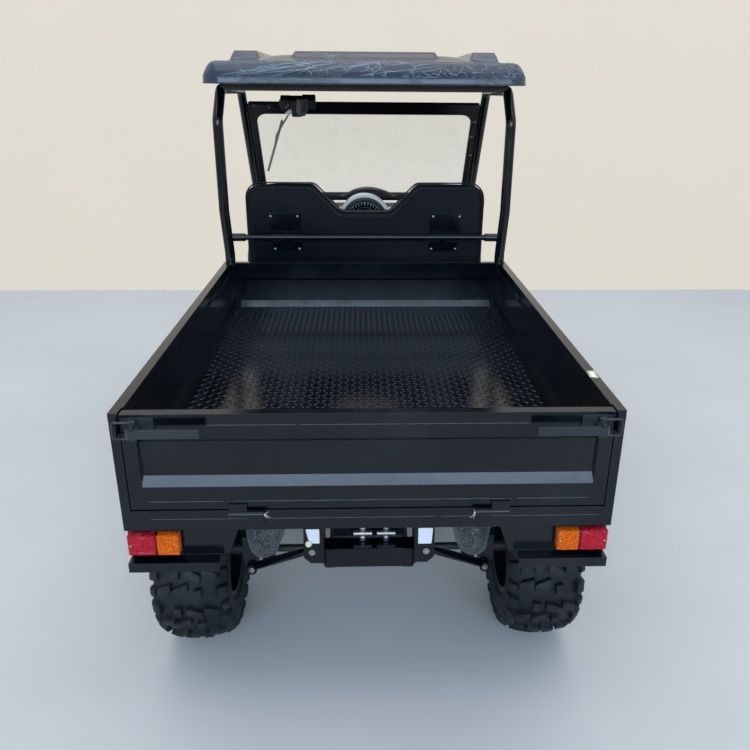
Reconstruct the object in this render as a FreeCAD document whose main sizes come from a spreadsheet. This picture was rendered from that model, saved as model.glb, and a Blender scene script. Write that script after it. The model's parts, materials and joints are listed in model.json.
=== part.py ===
import FreeCAD, Part
import math
import os
import Sketcher

# Side by side utility vehicle with a tilting cargo bed. Millimetres and degrees.
# +Y is forward, +X the right side, +Z up; the origin is on the ground below the middle.

Vec = FreeCAD.Vector
doc = FreeCAD.newDocument("SideBySide")

sizeTable = [
    # name, value, what it is
    ("latchProud", 45, "latch handles behind the bed's rear face"),
    # cargo bed
    ("bedWidth", 1350, "over the side walls"),
    ("bedLength", 1727, "rear face to front face"),
    ("bedTop", 1015, "top of the walls"),
    ("bedFoot", 661, "bottom of the walls"),
    ("bedWall", 30, "thickness of a pressed wall"),
    ("bedFloorTop", 732, "top of the chequer plate"),
    ("bedFloorPlate", 6, "thickness of the floor"),
    ("panelRecess", 12, "depth of the pressed recess in gate and front wall"),
    ("recessTop", 940, "upper edge of the recess"),
    ("ledgeTop", 827, "sloped ledge, inner edge"),
    ("ledgeFoot", 797, "sloped ledge, outer edge"),
    ("recessMargin", 37, "recess end to panel end"),
    ("sideRecess", 9, "depth of the long recess inside a side wall"),
    ("sideRecessTop", 978, "upper edge of the inner recess"),
    ("sideRecessFoot", 775, "lower edge of the inner recess"),
    ("sideRecessSlope", 34, "height of the inner recess slopes"),
    ("postWidth", 25, "rear corner post"),
    ("sillDepth", 40, "rear sill, front to back"),
    ("sillTop", 723, "top of the rear sill"),
    ("frontPost", 25, "inner front corner post"),
    ("channelX", 260, "bed channel, inner face from the middle"),
    ("channelWidth", 40, "bed channel"),
    ("channelFoot", 665, "bottom of the bed channels"),
    ("crossWidth", 50, "bed cross member"),
    ("crossFoot", 686, "bottom of the bed cross members"),
    ("hingeAhead", 100, "tilt pivot ahead of the rear face"),
    ("hingeHigh", 630, "tilt pivot above the ground"),
    ("hingePin", 12, "radius of the tilt pin"),
    ("hingeEye", 26, "radius of the eye round the tilt pin"),
    ("earThick", 10, "hinge ear plate"),
    ("pinPlay", 0.08, "radial play of a pin in its bore"),
    ("seatGap", 0.3, "gap between pieces that rest on each other"),
    # tailgate
    ("gateTop", 1012, "top of the tailgate"),
    ("gateFoot", 728, "bottom of the tailgate"),
    ("gateSideGap", 3, "tailgate to corner post"),
    ("gatePivotBack", 12, "gate hinge behind the rear face"),
    ("gatePivotHigh", 718, "gate hinge above the ground"),
    ("gateBarrel", 9, "radius of the hinge barrel"),
    ("gatePin", 4, "radius of the gate hinge pin"),
    ("gateHingeX", 288, "inner end of the hinge barrel"),
    ("gateHingeLength", 95, "length of the whole barrel"),
    ("gateHingeSplit", 45, "length of the part on the sill"),
    ("gateLeaf", 30, "height of a hinge leaf"),
    ("hingeClear", 3, "gate's hinge leaf behind the sill"),
    ("latchHigh", 975, "middle of the latch"),
    ("latchLong", 189, "length of the latch handle"),
    ("latchSetIn", 52, "outer end of the latch handle from the bed's side"),
    ("latchTall", 22, "height of the handle"),
    ("latchBar", 12, "handle bar, front to back"),
    ("latchBase", 65, "length of the latch base"),
    ("latchPlate", 6, "thickness of the latch base"),
    ("loopSetIn", 15, "outer leg of the latch loop from the bed's side"),
    ("loopHalf", 23, "half height of the latch loop"),
    ("loopWire", 3, "radius of the loop wire"),
    ("loopPlay", 1.5, "loop wire to hook"),
    ("hookWidth", 5, "hook on the corner post"),
    ("hookTall", 34, "hook on the corner post"),
    # mudguards and lamps
    ("guardAhead", 36, "mudguard plate ahead of the rear face"),
    ("guardPlate", 4, "thickness of the mudguard plate"),
    ("guardWide", 275, "mudguard plate at the shelf"),
    ("guardTopWide", 313, "mudguard plate at the sill"),
    ("shelfHigh", 556, "top of the lamp shelf"),
    ("shelfBack", 6, "shelf edge behind the rear face"),
    ("shelfWide", 251, "length of the lamp shelf"),
    ("shelfLip", 29, "height of the shelf lip"),
    ("lampWidth", 145, "lamp cluster"),
    ("lampTall", 84, "lamp cluster"),
    ("lampRed", 80, "width of the red part"),
    # chassis
    ("railX", 165, "chassis rail, inner face from the middle"),
    ("railWidth", 50, "chassis rail"),
    ("railTall", 60, "chassis rail"),
    ("rearRailFoot", 520, "bottom of the rails over the rear axle"),
    ("cabRailFoot", 270, "bottom of the rails below the cab"),
    ("rearRailStart", 210, "rail end ahead of the bed's rear face"),
    ("kickStart", -227, "start of the slope ahead of the bed's front"),
    ("kickEnd", 43, "end of the slope ahead of the bed's front"),
    ("railEnd", 1438, "front end of the rails ahead of the bed's front"),
    ("beamWidth", 50, "cross member of the chassis"),
    ("beamGap", 20, "cross member from the gearbox or the floor's end"),
    ("cabBeamFoot", 290, "bottom of the cross members below the cab"),
    ("cabBeamLower", 2, "cross members below the top of the rails"),
    ("restPad", 40, "rest pad below the bed channel"),
    ("restAhead", -287, "rest pad ahead of the bed's front"),
    # wheels
    ("rearAxle", 433, "rear axle ahead of the bed's rear face"),
    ("frontAxle", 1033, "front axle ahead of the bed's front"),
    ("tyreRadius", 292, "over the lugs"),
    ("lugHeight", 13, "tread lug"),
    ("rearTyreWidth", 246, "over the sidewalls"),
    ("frontTyreWidth", 190, "over the sidewalls"),
    ("rearTrack", 1140, "between the middles of the rear tyres"),
    ("frontTrack", 1164, "between the middles of the front tyres"),
    ("rimRadius", 150, "bead seat of the rim"),
    ("rimFlange", 161, "flange of the rim"),
    ("rimWall", 7, "barrel thickness"),
    ("rimDisc", 10, "wheel disc thickness"),
    ("rimDiscIn", 25, "disc inboard of the rim's outer edge"),
    ("hubRadius", 48, "hub"),
    ("hubLength", 70, "hub"),
    ("spindle", 20, "radius of the spindle"),
    # rear suspension
    ("armPivotX", 178, "inner arm pivot from the middle"),
    ("rearPivotHigh", 417, "rear arm pivots above the ground"),
    ("rearPivotBack", 183, "rear pivot behind the axle"),
    ("armTube", 14, "radius of an arm tube"),
    ("armEyeX", 400, "outer end of the rear arm"),
    ("armEyeHigh", 260, "outer end of the rear arm above the ground"),
    ("armEyeSpread", 62, "outer ends from the axle"),
    ("armEyePast", 20, "arm's eye past its tube"),
    ("bushRadius", 21, "arm bush"),
    ("bushLength", 60, "arm bush"),
    ("knuckleX", 388, "rear knuckle, inner face"),
    ("knuckleWide", 44, "rear knuckle"),
    ("knuckleTall", 150, "knuckle"),
    ("knuckleLong", 90, "knuckle"),
    ("shockTopX", 325, "top of the rear shock"),
    ("shockTopHigh", 560, "top of the rear shock"),
    ("shockFootX", 342, "foot of the rear shock"),
    ("shockBehind", 50, "rear shock behind the axle"),
    ("shockTopPlay", 1, "rear shock's top below its seat"),
    ("shockEye", 30, "length of a shock's eye"),
    ("shockEyeWall", 8, "wall of a shock's eye"),
    ("shockRod", 12, "radius of the shock's rod"),
    ("shockTube", 24, "radius of the shock's tube"),
    ("sleeveTop", 72, "radius of the wrap sleeve at its top"),
    ("sleeveFoot", 27.5, "radius of the wrap sleeve at its foot"),
    ("sleeveWall", 3, "thickness of the wrap"),
    ("axleShaft", 13, "radius of a drive shaft"),
    ("axleBoot", 34, "radius of a drive shaft's boot"),
    ("axleBootLong", 70, "drive shaft's boot"),
    # transaxle and battery
    ("gearboxWidth", 270, "transaxle block"),
    ("gearboxLong", 245, "transaxle block"),
    ("gearboxFoot", 215, "bottom of the transaxle"),
    ("gearboxTop", 425, "top of the transaxle"),
    ("gearboxSlopeLong", 125, "length of the slope under its rear end"),
    ("gearboxSlopeTall", 90, "height of the slope under its rear end"),
    ("batteryWidth", 700, "battery block"),
    ("batteryLong", 400, "battery block"),
    ("batteryTall", 230, "battery block"),
    # rear crossbar
    ("barAhead", 250, "crossbar ahead of the bed's rear face"),
    ("barHalf", 150, "half length of the crossbar"),
    ("barFoot", 345, "bottom of the crossbar"),
    ("barTop", 414, "top of the crossbar"),
    ("barDeep", 60, "crossbar, front to back"),
    ("barPlate", 6, "plate of the crossbar"),
    ("towHole", 10, "radius of the hole for a tow pin"),
    ("bracketPlate", 8, "pivot bracket plate"),
    ("bracketEdge", 7, "pivot bracket past the bush"),
    ("studRadius", 6, "silver stud"),
    ("studSpacing", 77, "between the silver studs"),
    ("studTall", 62, "silver stud above the crossbar"),
    ("studOffset", 18, "studs' middle to the right of the vehicle's middle"),
    ("studBehind", 22, "studs ahead of the crossbar's middle"),
    ("barrelRadius", 9, "silver cross barrel"),
    ("barrelUp", 24, "silver cross barrel above the crossbar"),
    ("barrelLength", 60, "silver cross barrel"),
    # cab frame
    ("tubeRadius", 23.5, "cab tube"),
    ("postAhead", 33, "rear posts ahead of the bed's front"),
    ("postX", 667.5, "rear post, middle of the tube"),
    ("postFootX", 654.5, "rear post at its foot"),
    ("postFootHigh", 294, "foot of the rear post"),
    ("postLean", 1050, "where the post starts to lean out"),
    ("postStraight", 1250, "where the post is upright again"),
    ("postTop", 1655, "where the post bends to the roof"),
    ("roofRailX", 661, "roof rail, middle of the tube"),
    ("roofRailHigh", 1786, "roof rail, middle of the tube"),
    ("roofRailAhead", 123, "start of the roof rail, ahead of the bed's front"),
    ("pillarTopAhead", 723, "top of the front pillar, ahead of the bed's front"),
    ("pillarSlope", 34.5, "front pillar from upright"),
    ("cowlHigh", 970, "foot of the front pillar"),
    ("cowlPostDrop", 60, "fall of the front tube from pillar foot to cowl post"),
    ("sillPostRise", 120, "height of the front post's bend above the sill"),
    ("cowlPostAhead", 713, "front door post at the sill, ahead of the bed's front"),
    ("tubeBend", 60, "bend radius of the cab tube"),
    ("sillHigh", 294, "side sill tube above the ground"),
    ("grabHigh", 1125, "grab bar"),
    ("grabRadius", 14, "grab bar"),
    ("grabSleeve", 19, "radius of the grab bar's end sleeves"),
    ("grabSleeveLong", 58, "length of an end sleeve"),
    ("roofBeamAhead", 109, "beam below the roof's rear lip, ahead of the bed's front"),
    ("roofBeamFoot", 1780, "beam below the roof's rear lip"),
    ("roofBeamTall", 28, "beam below the roof's rear lip"),
    # windshield
    ("screenTop", 1718, "upper edge of the windshield frame"),
    ("screenFoot", 1144, "lower edge of the windshield frame"),
    ("screenRail", 50, "lower rail of the windshield frame"),
    ("screenTopRail", 66, "upper rail of the windshield frame"),
    ("screenGlassHalf", 602, "half width of the glass opening"),
    ("archHalf", 171, "half width of the arch on the lower rail"),
    ("archRise", 76, "arch above the lower rail"),
    ("archTube", 13, "radius of the arch tube"),
    ("archBend", 70, "bend radius of the arch"),
    ("screenThick", 22, "thickness of the windshield frame"),
    ("glassThick", 5, "glass"),
    ("screenCorner", 60, "radius of the glass corner"),
    ("wiperX", -365, "wiper motor"),
    ("wiperMotor", 24, "radius of the wiper motor"),
    ("wiperMotorLong", 100, "wiper motor"),
    ("wiperMotorBehind", 30, "motor's middle from the frame's inner face"),
    ("wiperPlateHalf", 45, "half width of the wiper's plate"),
    ("wiperPlate", 4, "thickness of the wiper's plate"),
    ("wiperPlateTall", 52, "wiper's plate above the top rail"),
    ("wiperGearDeep", 40, "wiper's gearbox"),
    ("wiperGearOut", 30, "wiper's gearbox from the motor's middle, outwards"),
    ("wiperGearIn", 20, "wiper's gearbox from the motor's middle, inwards"),
    ("wiperGearTall", 22, "wiper's gearbox above the top rail"),
    ("wiperPivotOut", 26, "wiper's pivot from the motor's middle"),
    ("wiperElbowOut", 112, "wiper's elbow from its pivot"),
    ("wiperElbowDown", 190, "wiper's elbow from its pivot"),
    ("bladeTopOut", 70, "upper end of the blade from the pivot"),
    ("bladeTopDown", 84, "upper end of the blade from the pivot"),
    ("bladeFootOut", 186, "lower end of the blade from the pivot"),
    ("bladeFootDown", 440, "lower end of the blade from the pivot"),
    # roof
    ("roofWidth", 1400, "roof"),
    ("roofStart", -155, "roof's rear edge ahead of the bed's front"),
    ("roofLong", 1030, "roof"),
    ("roofLip", 24, "height of the roof's lip"),
    ("roofShoulder", 1900, "roof's shoulder"),
    ("roofShoulderIn", 46, "shoulder from the roof's edge"),
    ("roofCrown", 1930, "roof's crown"),
    ("roofCrownHalf", 330, "half width of the crown"),
    ("roofSkin", 6, "roof shell"),
    ("roofRib", 16, "height of the roof ribs"),
    ("roofSlope", 210, "roof's edge to its crown, front and back"),
    ("roofFlange", 60, "flange below the roof's lip, front and back"),
    ("roofRibPast", 60, "ribs past the crown, front and back"),
    ("roofSideRib", 457, "inner edge of a side rib"),
    ("roofSideRibWide", 135, "side rib"),
    # seat
    ("seatBackAhead", 73, "seat's rear face ahead of the bed's front"),
    ("seatWidth", 1170, "bench"),
    ("seatBackTop", 1375, "top of the seat back"),
    ("seatBackFoot", 790, "bottom of the seat back"),
    ("seatBackThick", 95, "seat back at its foot"),
    ("seatNotch", 1245, "bottom of the notch in the seat back"),
    ("notchTopHalf", 239, "half width of the notch at its top"),
    ("notchFootHalf", 112, "half width of the notch at its bottom"),
    ("seatShoulder", 80, "outer corner radius of the seat back"),
    ("seatCorner", 55, "corner radius at the seat back's notch"),
    ("cushionTop", 765, "top of the cushion"),
    ("cushionThick", 120, "cushion"),
    ("cushionLong", 540, "cushion's front from the seat's rear face"),
    ("cushionSetIn", 60, "cushion's rear from the seat's rear face"),
    ("seatBoxLong", 480, "seat base"),
    ("seatBoxWidth", 1080, "seat base"),
    ("panelThick", 10, "moulded panel"),
    ("panelSkin", 6, "bodywork skin"),
    ("seatPlate", 4, "seat bracket plate"),
    ("seatPlateIn", 310, "inner edge of the seat bracket plates"),
    ("seatPlateWide", 155, "seat bracket plate"),
    ("seatPlateHigh", 1138, "bottom of the upper bracket plate"),
    ("seatPlateLow", 1051, "bottom of the lower bracket plate"),
    ("seatPlateTall", 98, "upper bracket plate"),
    # floor and dashboard
    ("floorTop", 345, "cab floor"),
    ("floorThick", 15, "cab floor"),
    ("floorEnd", 641, "end of the wide floor ahead of the bed's front"),
    ("footwellHalf", 335, "half width of the footwell"),
    ("footwellEnd", 1153, "end of the footwell ahead of the bed's front"),
    ("toeRun", 110, "toe board, front to back"),
    ("toeRise", 190, "toe board"),
    ("pedalPivot", 346, "top of the pedals above the floor"),
    ("dashStart", 893, "dashboard's rear face, ahead of the bed's front"),
    ("dashEnd", 1133, "dashboard's front end, ahead of the bed's front"),
    ("dashTop", 1110, "dashboard"),
    ("dashFoot", 850, "dashboard"),
    ("podHigh", 1059, "middle of the instrument pod"),
    ("podRadius", 152, "instrument pod"),
    ("podRim", 32, "rim of the instrument pod"),
    ("podAhead", 873, "instrument pod's rear face, ahead of the bed's front"),
    ("driverX", -330, "steering wheel from the middle"),
    ("wheelHubAhead", 713, "steering wheel's hub ahead of the bed's front"),
    ("wheelHubHigh", 1010, "steering wheel's hub"),
    ("columnTilt", 35, "steering column from level"),
    ("steerRadius", 170, "steering wheel, middle of its rim"),
    ("steerGrip", 13, "radius of the steering wheel's grip"),
    ("steerBoss", 36, "radius of the steering wheel's boss"),
    ("steerBossLong", 44, "steering wheel's boss"),
    ("spokeWide", 34, "steering wheel's spoke"),
    ("columnRadius", 20, "steering column"),
    ("columnLong", 320, "steering column before it is trimmed at the dashboard"),
    # front suspension and steering
    ("kingpinX", 455, "kingpin from the middle"),
    ("kingpinFoot", 219, "lower ball joint's top face"),
    ("kingpinTop", 371, "upper ball joint's lower face"),
    ("ballPin", 9, "radius of a ball joint's pin"),
    ("ballBoss", 22, "radius of a ball joint's boss"),
    ("ballDepth", 24, "pin in the knuckle"),
    ("frontPivotBack", 150, "front arm pivot from the axle"),
    ("lowerPivotHigh", 296, "lower front arm pivot above the ground"),
    ("upperSpread", 80, "upper front arm from the axle, front and back"),
    ("upperPlate", 12, "upper front arm's plate"),
    ("armThinner", 4, "front arm tube thinner than a rear one"),
    ("frontBush", 44, "front arm bush"),
    ("bushWall", 4, "eye or bush thicker than its tube"),
    ("ballTall", 28, "height of a ball joint's boss"),
    ("ballTaller", 6, "lower ball joint's boss taller"),
    ("knuckleNeck", 21, "round foot of the front knuckle"),
    ("frontShockX", 372, "foot of the front shock from the middle"),
    ("frontKnuckle", 44, "front knuckle"),
    ("steerArm", 110, "steering arm ahead of the axle"),
    ("rackAhead", 1188, "steering rack ahead of the bed's front"),
    ("rackPast", 40, "steering rack's end past the rail"),
    ("towerOut", 346, "outer face of the front tower"),
    ("towerPlate", 10, "front tower plate"),
    ("towerHalf", 105, "front tower from the axle, front and back"),
    ("towerTop", 640, "front tower"),
    ("towerCap", 34, "shock seat below the tower's top"),
    # bodywork
    ("archRadius", 372, "front wheel arch"),
    ("archThick", 12, "front wheel arch"),
    ("archOut", 690, "arch's outer edge from the middle"),
    ("archEnd", 20, "arch's ends above the axle"),
    ("axleCowl", 480, "bottom of the cowl panel"),
    ("cowlEnd", 1153, "front end of the cowl panel ahead of the bed's front"),
    ("hoodHalf", 600, "half width of the hood"),
    ("hoodStart", 1173, "hood's rear edge ahead of the bed's front"),
    ("hoodSplit", 800, "seam between hood and fascia"),
    ("grilleHalf", 230, "half width of the grille"),
    ("grilleFoot", 560, "bottom of the grille"),
    ("grilleTall", 150, "grille"),
    ("hoodRearHigh", 1125, "hood at the windshield"),
    ("hoodNoseHigh", 880, "hood at the nose"),
    ("hoodEnd", 1488, "nose ahead of the bed's front"),
    ("fasciaFoot", 420, "bottom of the fascia"),
    ("lampRadius", 68, "headlight"),
    ("lampDeep", 14, "headlight, front to back"),
    ("lampX", 385, "headlight from the middle"),
    ("headlampHigh", 760, "headlight"),
    ("bumperReach", 80, "front of the bumper ahead of the nose"),
    ("bumperTube", 19, "radius of the bumper tube"),
    ("bumperHalf", 400, "half width of the bumper"),
    ("bumperBend", 55, "bend radius of the bumper"),
    ("bumperFoot", 400, "lower bar of the bumper"),
    ("bumperTop", 640, "upper bar of the bumper"),
]

sheet = doc.addObject("Spreadsheet::Sheet", "Sizes")
for row, (name, value, note) in enumerate(sizeTable, 1):
    sheet.set("A%d" % row, name)
    sheet.set("B%d" % row, str(value))
    sheet.set("C%d" % row, note)
    sheet.setAlias("B%d" % row, name)
doc.recompute()


# A number that keeps the sheet expression it came from
class Size:
    def __init__(self, value, text):
        self.value = float(value)
        self.text = text

    def __float__(self):
        return self.value

    def __add__(self, other):
        return Size(self.value + float(other), "(%s + %s)" % (self.text, textOf(other)))

    def __radd__(self, other):
        return Size(float(other) + self.value, "(%s + %s)" % (textOf(other), self.text))

    def __sub__(self, other):
        return Size(self.value - float(other), "(%s - %s)" % (self.text, textOf(other)))

    def __rsub__(self, other):
        return Size(float(other) - self.value, "(%s - %s)" % (textOf(other), self.text))

    def __mul__(self, other):
        return Size(self.value * float(other), "(%s * %s)" % (self.text, textOf(other)))

    __rmul__ = __mul__

    def __truediv__(self, other):
        return Size(self.value / float(other), "(%s / %s)" % (self.text, textOf(other)))

    def __neg__(self):
        return Size(-self.value, "(0 - %s)" % self.text)


def textOf(number):
    if isinstance(number, Size):
        return number.text
    return "(%.6f)" % float(number)


class Sheet:
    def __getattr__(self, name):
        return Size(getattr(sheet, name), "Sizes." + name)


size = Sheet()
parts = {}


def bind(item, prop, number):
    item.setExpression(prop, textOf(number))


def point(spot):
    return Vec(*[float(c) for c in spot])


def box(name, x, y, z):
    item = doc.addObject("Part::Box", name)
    for prop, place, (low, high) in (("Length", "x", x), ("Width", "y", y), ("Height", "z", z)):
        bind(item, prop, high - low)
        bind(item, "Placement.Base." + place, low)
    return item


axisTurn = {
    "X": FreeCAD.Rotation(Vec(0, 1, 0), 90),
    "Y": FreeCAD.Rotation(Vec(1, 0, 0), -90),
    "Z": FreeCAD.Rotation(),
}


def cylinder(name, axis, start, radius, length):
    item = doc.addObject("Part::Cylinder", name)
    item.Placement = FreeCAD.Placement(Vec(), axisTurn[axis])
    bind(item, "Radius", radius)
    bind(item, "Height", length)
    for place, number in zip("xyz", start):
        bind(item, "Placement.Base." + place, number)
    return item


def cone(name, start, end, startRadius, endRadius):
    item = doc.addObject("Part::Feature", name)
    run = point(end) - point(start)
    item.Shape = Part.makeCone(float(startRadius), float(endRadius), run.Length, point(start), run)
    return item


def rod(name, start, end, radius):
    item = doc.addObject("Part::Feature", name)
    run = point(end) - point(start)
    item.Shape = Part.makeCylinder(float(radius), run.Length, point(start), run)
    return item


# A round tube along straight runs joined by tangent arcs
def bentTube(name, spots, radius, bend):
    spots = [point(spot) for spot in spots]
    edges = []
    last = spots[0]
    for before, corner, after in zip(spots, spots[1:], spots[2:]):
        back = (before - corner).normalize()
        ahead = (after - corner).normalize()
        turn = math.pi - back.getAngle(ahead)
        reach = float(bend) * math.tan(turn / 2)
        middle = (back + ahead).normalize()
        centre = corner + middle * (float(bend) / math.cos(turn / 2))
        start = corner + back * reach
        end = corner + ahead * reach
        edges.append(Part.LineSegment(last, start).toShape())
        edges.append(Part.Arc(start, centre - middle * float(bend), end).toShape())
        last = end
    edges.append(Part.LineSegment(last, spots[-1]).toShape())
    path = Part.Wire(edges)
    ring = Part.Wire(Part.Circle(spots[0], spots[1] - spots[0], float(radius)).toShape())
    item = doc.addObject("Part::Feature", name)
    item.Shape = path.makePipeShell([ring], True, False)
    return item


# A body padded from a closed outline; plane XZ runs along Y, YZ along X and XY along Z
def profile(name, plane, outline, span):
    body = doc.addObject("PartDesign::Body", name)
    sketch = drawOutline(body, name + "Outline", plane, outline, span[1] if plane == "XZ" else span[0])
    pad = body.newObject("PartDesign::Pad", name + "Pad")
    pad.Profile = sketch
    bind(pad, "Length", span[1] - span[0])
    body.Tip = pad
    return body


def drawOutline(body, name, plane, outline, level):
    sketch = body.newObject("Sketcher::SketchObject", name)
    base = [f for f in body.Origin.OriginFeatures if f.Role == plane + "_Plane"][0]
    sketch.AttachmentSupport = [(base, "")]
    sketch.MapMode = "FlatFace"
    bind(sketch, "AttachmentOffset.Base.z", -level if plane == "XZ" else level)
    count = len(outline)
    flat = [Vec(float(a), float(b), 0) for a, b in outline]
    for i in range(count):
        sketch.addGeometry(Part.LineSegment(flat[i], flat[(i + 1) % count]), False)
    for i in range(count):
        sketch.addConstraint(Sketcher.Constraint("Coincident", i, 2, (i + 1) % count, 1))
    for i, spot in enumerate(outline):
        for kind, number in (("DistanceX", spot[0]), ("DistanceY", spot[1])):
            index = sketch.addConstraint(Sketcher.Constraint(kind, -1, 1, i, 1, float(number)))
            label = "%s%d" % (kind, i)
            sketch.renameConstraint(index, label)
            bind(sketch, "Constraints." + label, number)
    return sketch


# A cut through a body along the same plane, from low to high
def pocket(body, name, plane, outline, span):
    sketch = drawOutline(body, name + "Outline", plane, outline, span[0] if plane == "XZ" else span[1])
    cutter = body.newObject("PartDesign::Pocket", name)
    cutter.Profile = sketch
    bind(cutter, "Length", span[1] - span[0])
    body.Tip = cutter
    return body


# Rounds the straight edges of a body that run along one axis and pass the test
def roundEdges(body, name, along, radius, test):
    doc.recompute()
    chosen = []
    for i, edge in enumerate(body.Tip.Shape.Edges, 1):
        if edge.Curve.TypeId != "Part::GeomLine":
            continue
        run = edge.Vertexes[-1].Point - edge.Vertexes[0].Point
        if abs(abs(run.normalize().dot(along)) - 1) < 1e-6 and test(edge.CenterOfMass):
            chosen.append("Edge%d" % i)
    base = body.Tip
    fillet = body.newObject("PartDesign::Fillet", name)
    fillet.Base = (base, chosen)
    bind(fillet, "Radius", radius)
    body.Tip = fillet
    return body


def fused(name, *items):
    item = doc.addObject("Part::MultiFuse", name)
    item.Shapes = list(items)
    item.Refine = True
    return item


def cut(name, base, tool):
    item = doc.addObject("Part::Cut", name)
    item.Base = base
    item.Tool = tool
    item.Refine = True
    return item


def common(name, *items):
    item = doc.addObject("Part::MultiCommon", name)
    item.Shapes = list(items)
    return item


def group(name, *items):
    item = doc.addObject("Part::Compound", name)
    item.Links = list(items)
    return item


def mirrored(item):
    copy = doc.addObject("Part::Mirroring", item.Name + "Left")
    copy.Source = item
    copy.Base = Vec(0, 0, 0)
    copy.Normal = Vec(1, 0, 0)
    return copy


def both(name, item):
    return group(name, item, mirrored(item))


def node(label, item):
    item.Label = label
    parts[label] = item
    return item


# Shared places
overallLength = size.latchProud + size.bedLength + size.hoodEnd + size.bumperReach
rear = size.latchProud - overallLength / 2


def ahead(distance):
    return rear + distance


def cab(distance):
    return bedFront + distance


bedHalf = size.bedWidth / 2
bedFront = ahead(size.bedLength)
wallIn = bedHalf - size.bedWall
rearAxleY = ahead(size.rearAxle)
frontAxleY = bedFront + size.frontAxle
axleHigh = size.tyreRadius
railOut = size.railX + size.railWidth
cabRailTop = size.cabRailFoot + size.railTall
rearRailTop = size.rearRailFoot + size.railTall
tiltPivot = (ahead(size.hingeAhead), size.hingeHigh)
gatePivot = (rear - size.gatePivotBack, size.gatePivotHigh)
postY = cab(size.postAhead)
latchOut = bedHalf - size.latchSetIn
loopReach = bedHalf - size.loopSetIn
sillIn = size.postFootX - size.tubeRadius - size.seatGap


# Outline of a wall that carries a pressed recess with a sloped ledge at its foot
def ledgeRecess(face, depth):
    return [
        (face, size.recessTop),
        (face + depth, size.recessTop - size.panelRecess),
        (face + depth, size.ledgeTop),
        (face, size.ledgeFoot),
    ]


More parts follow.
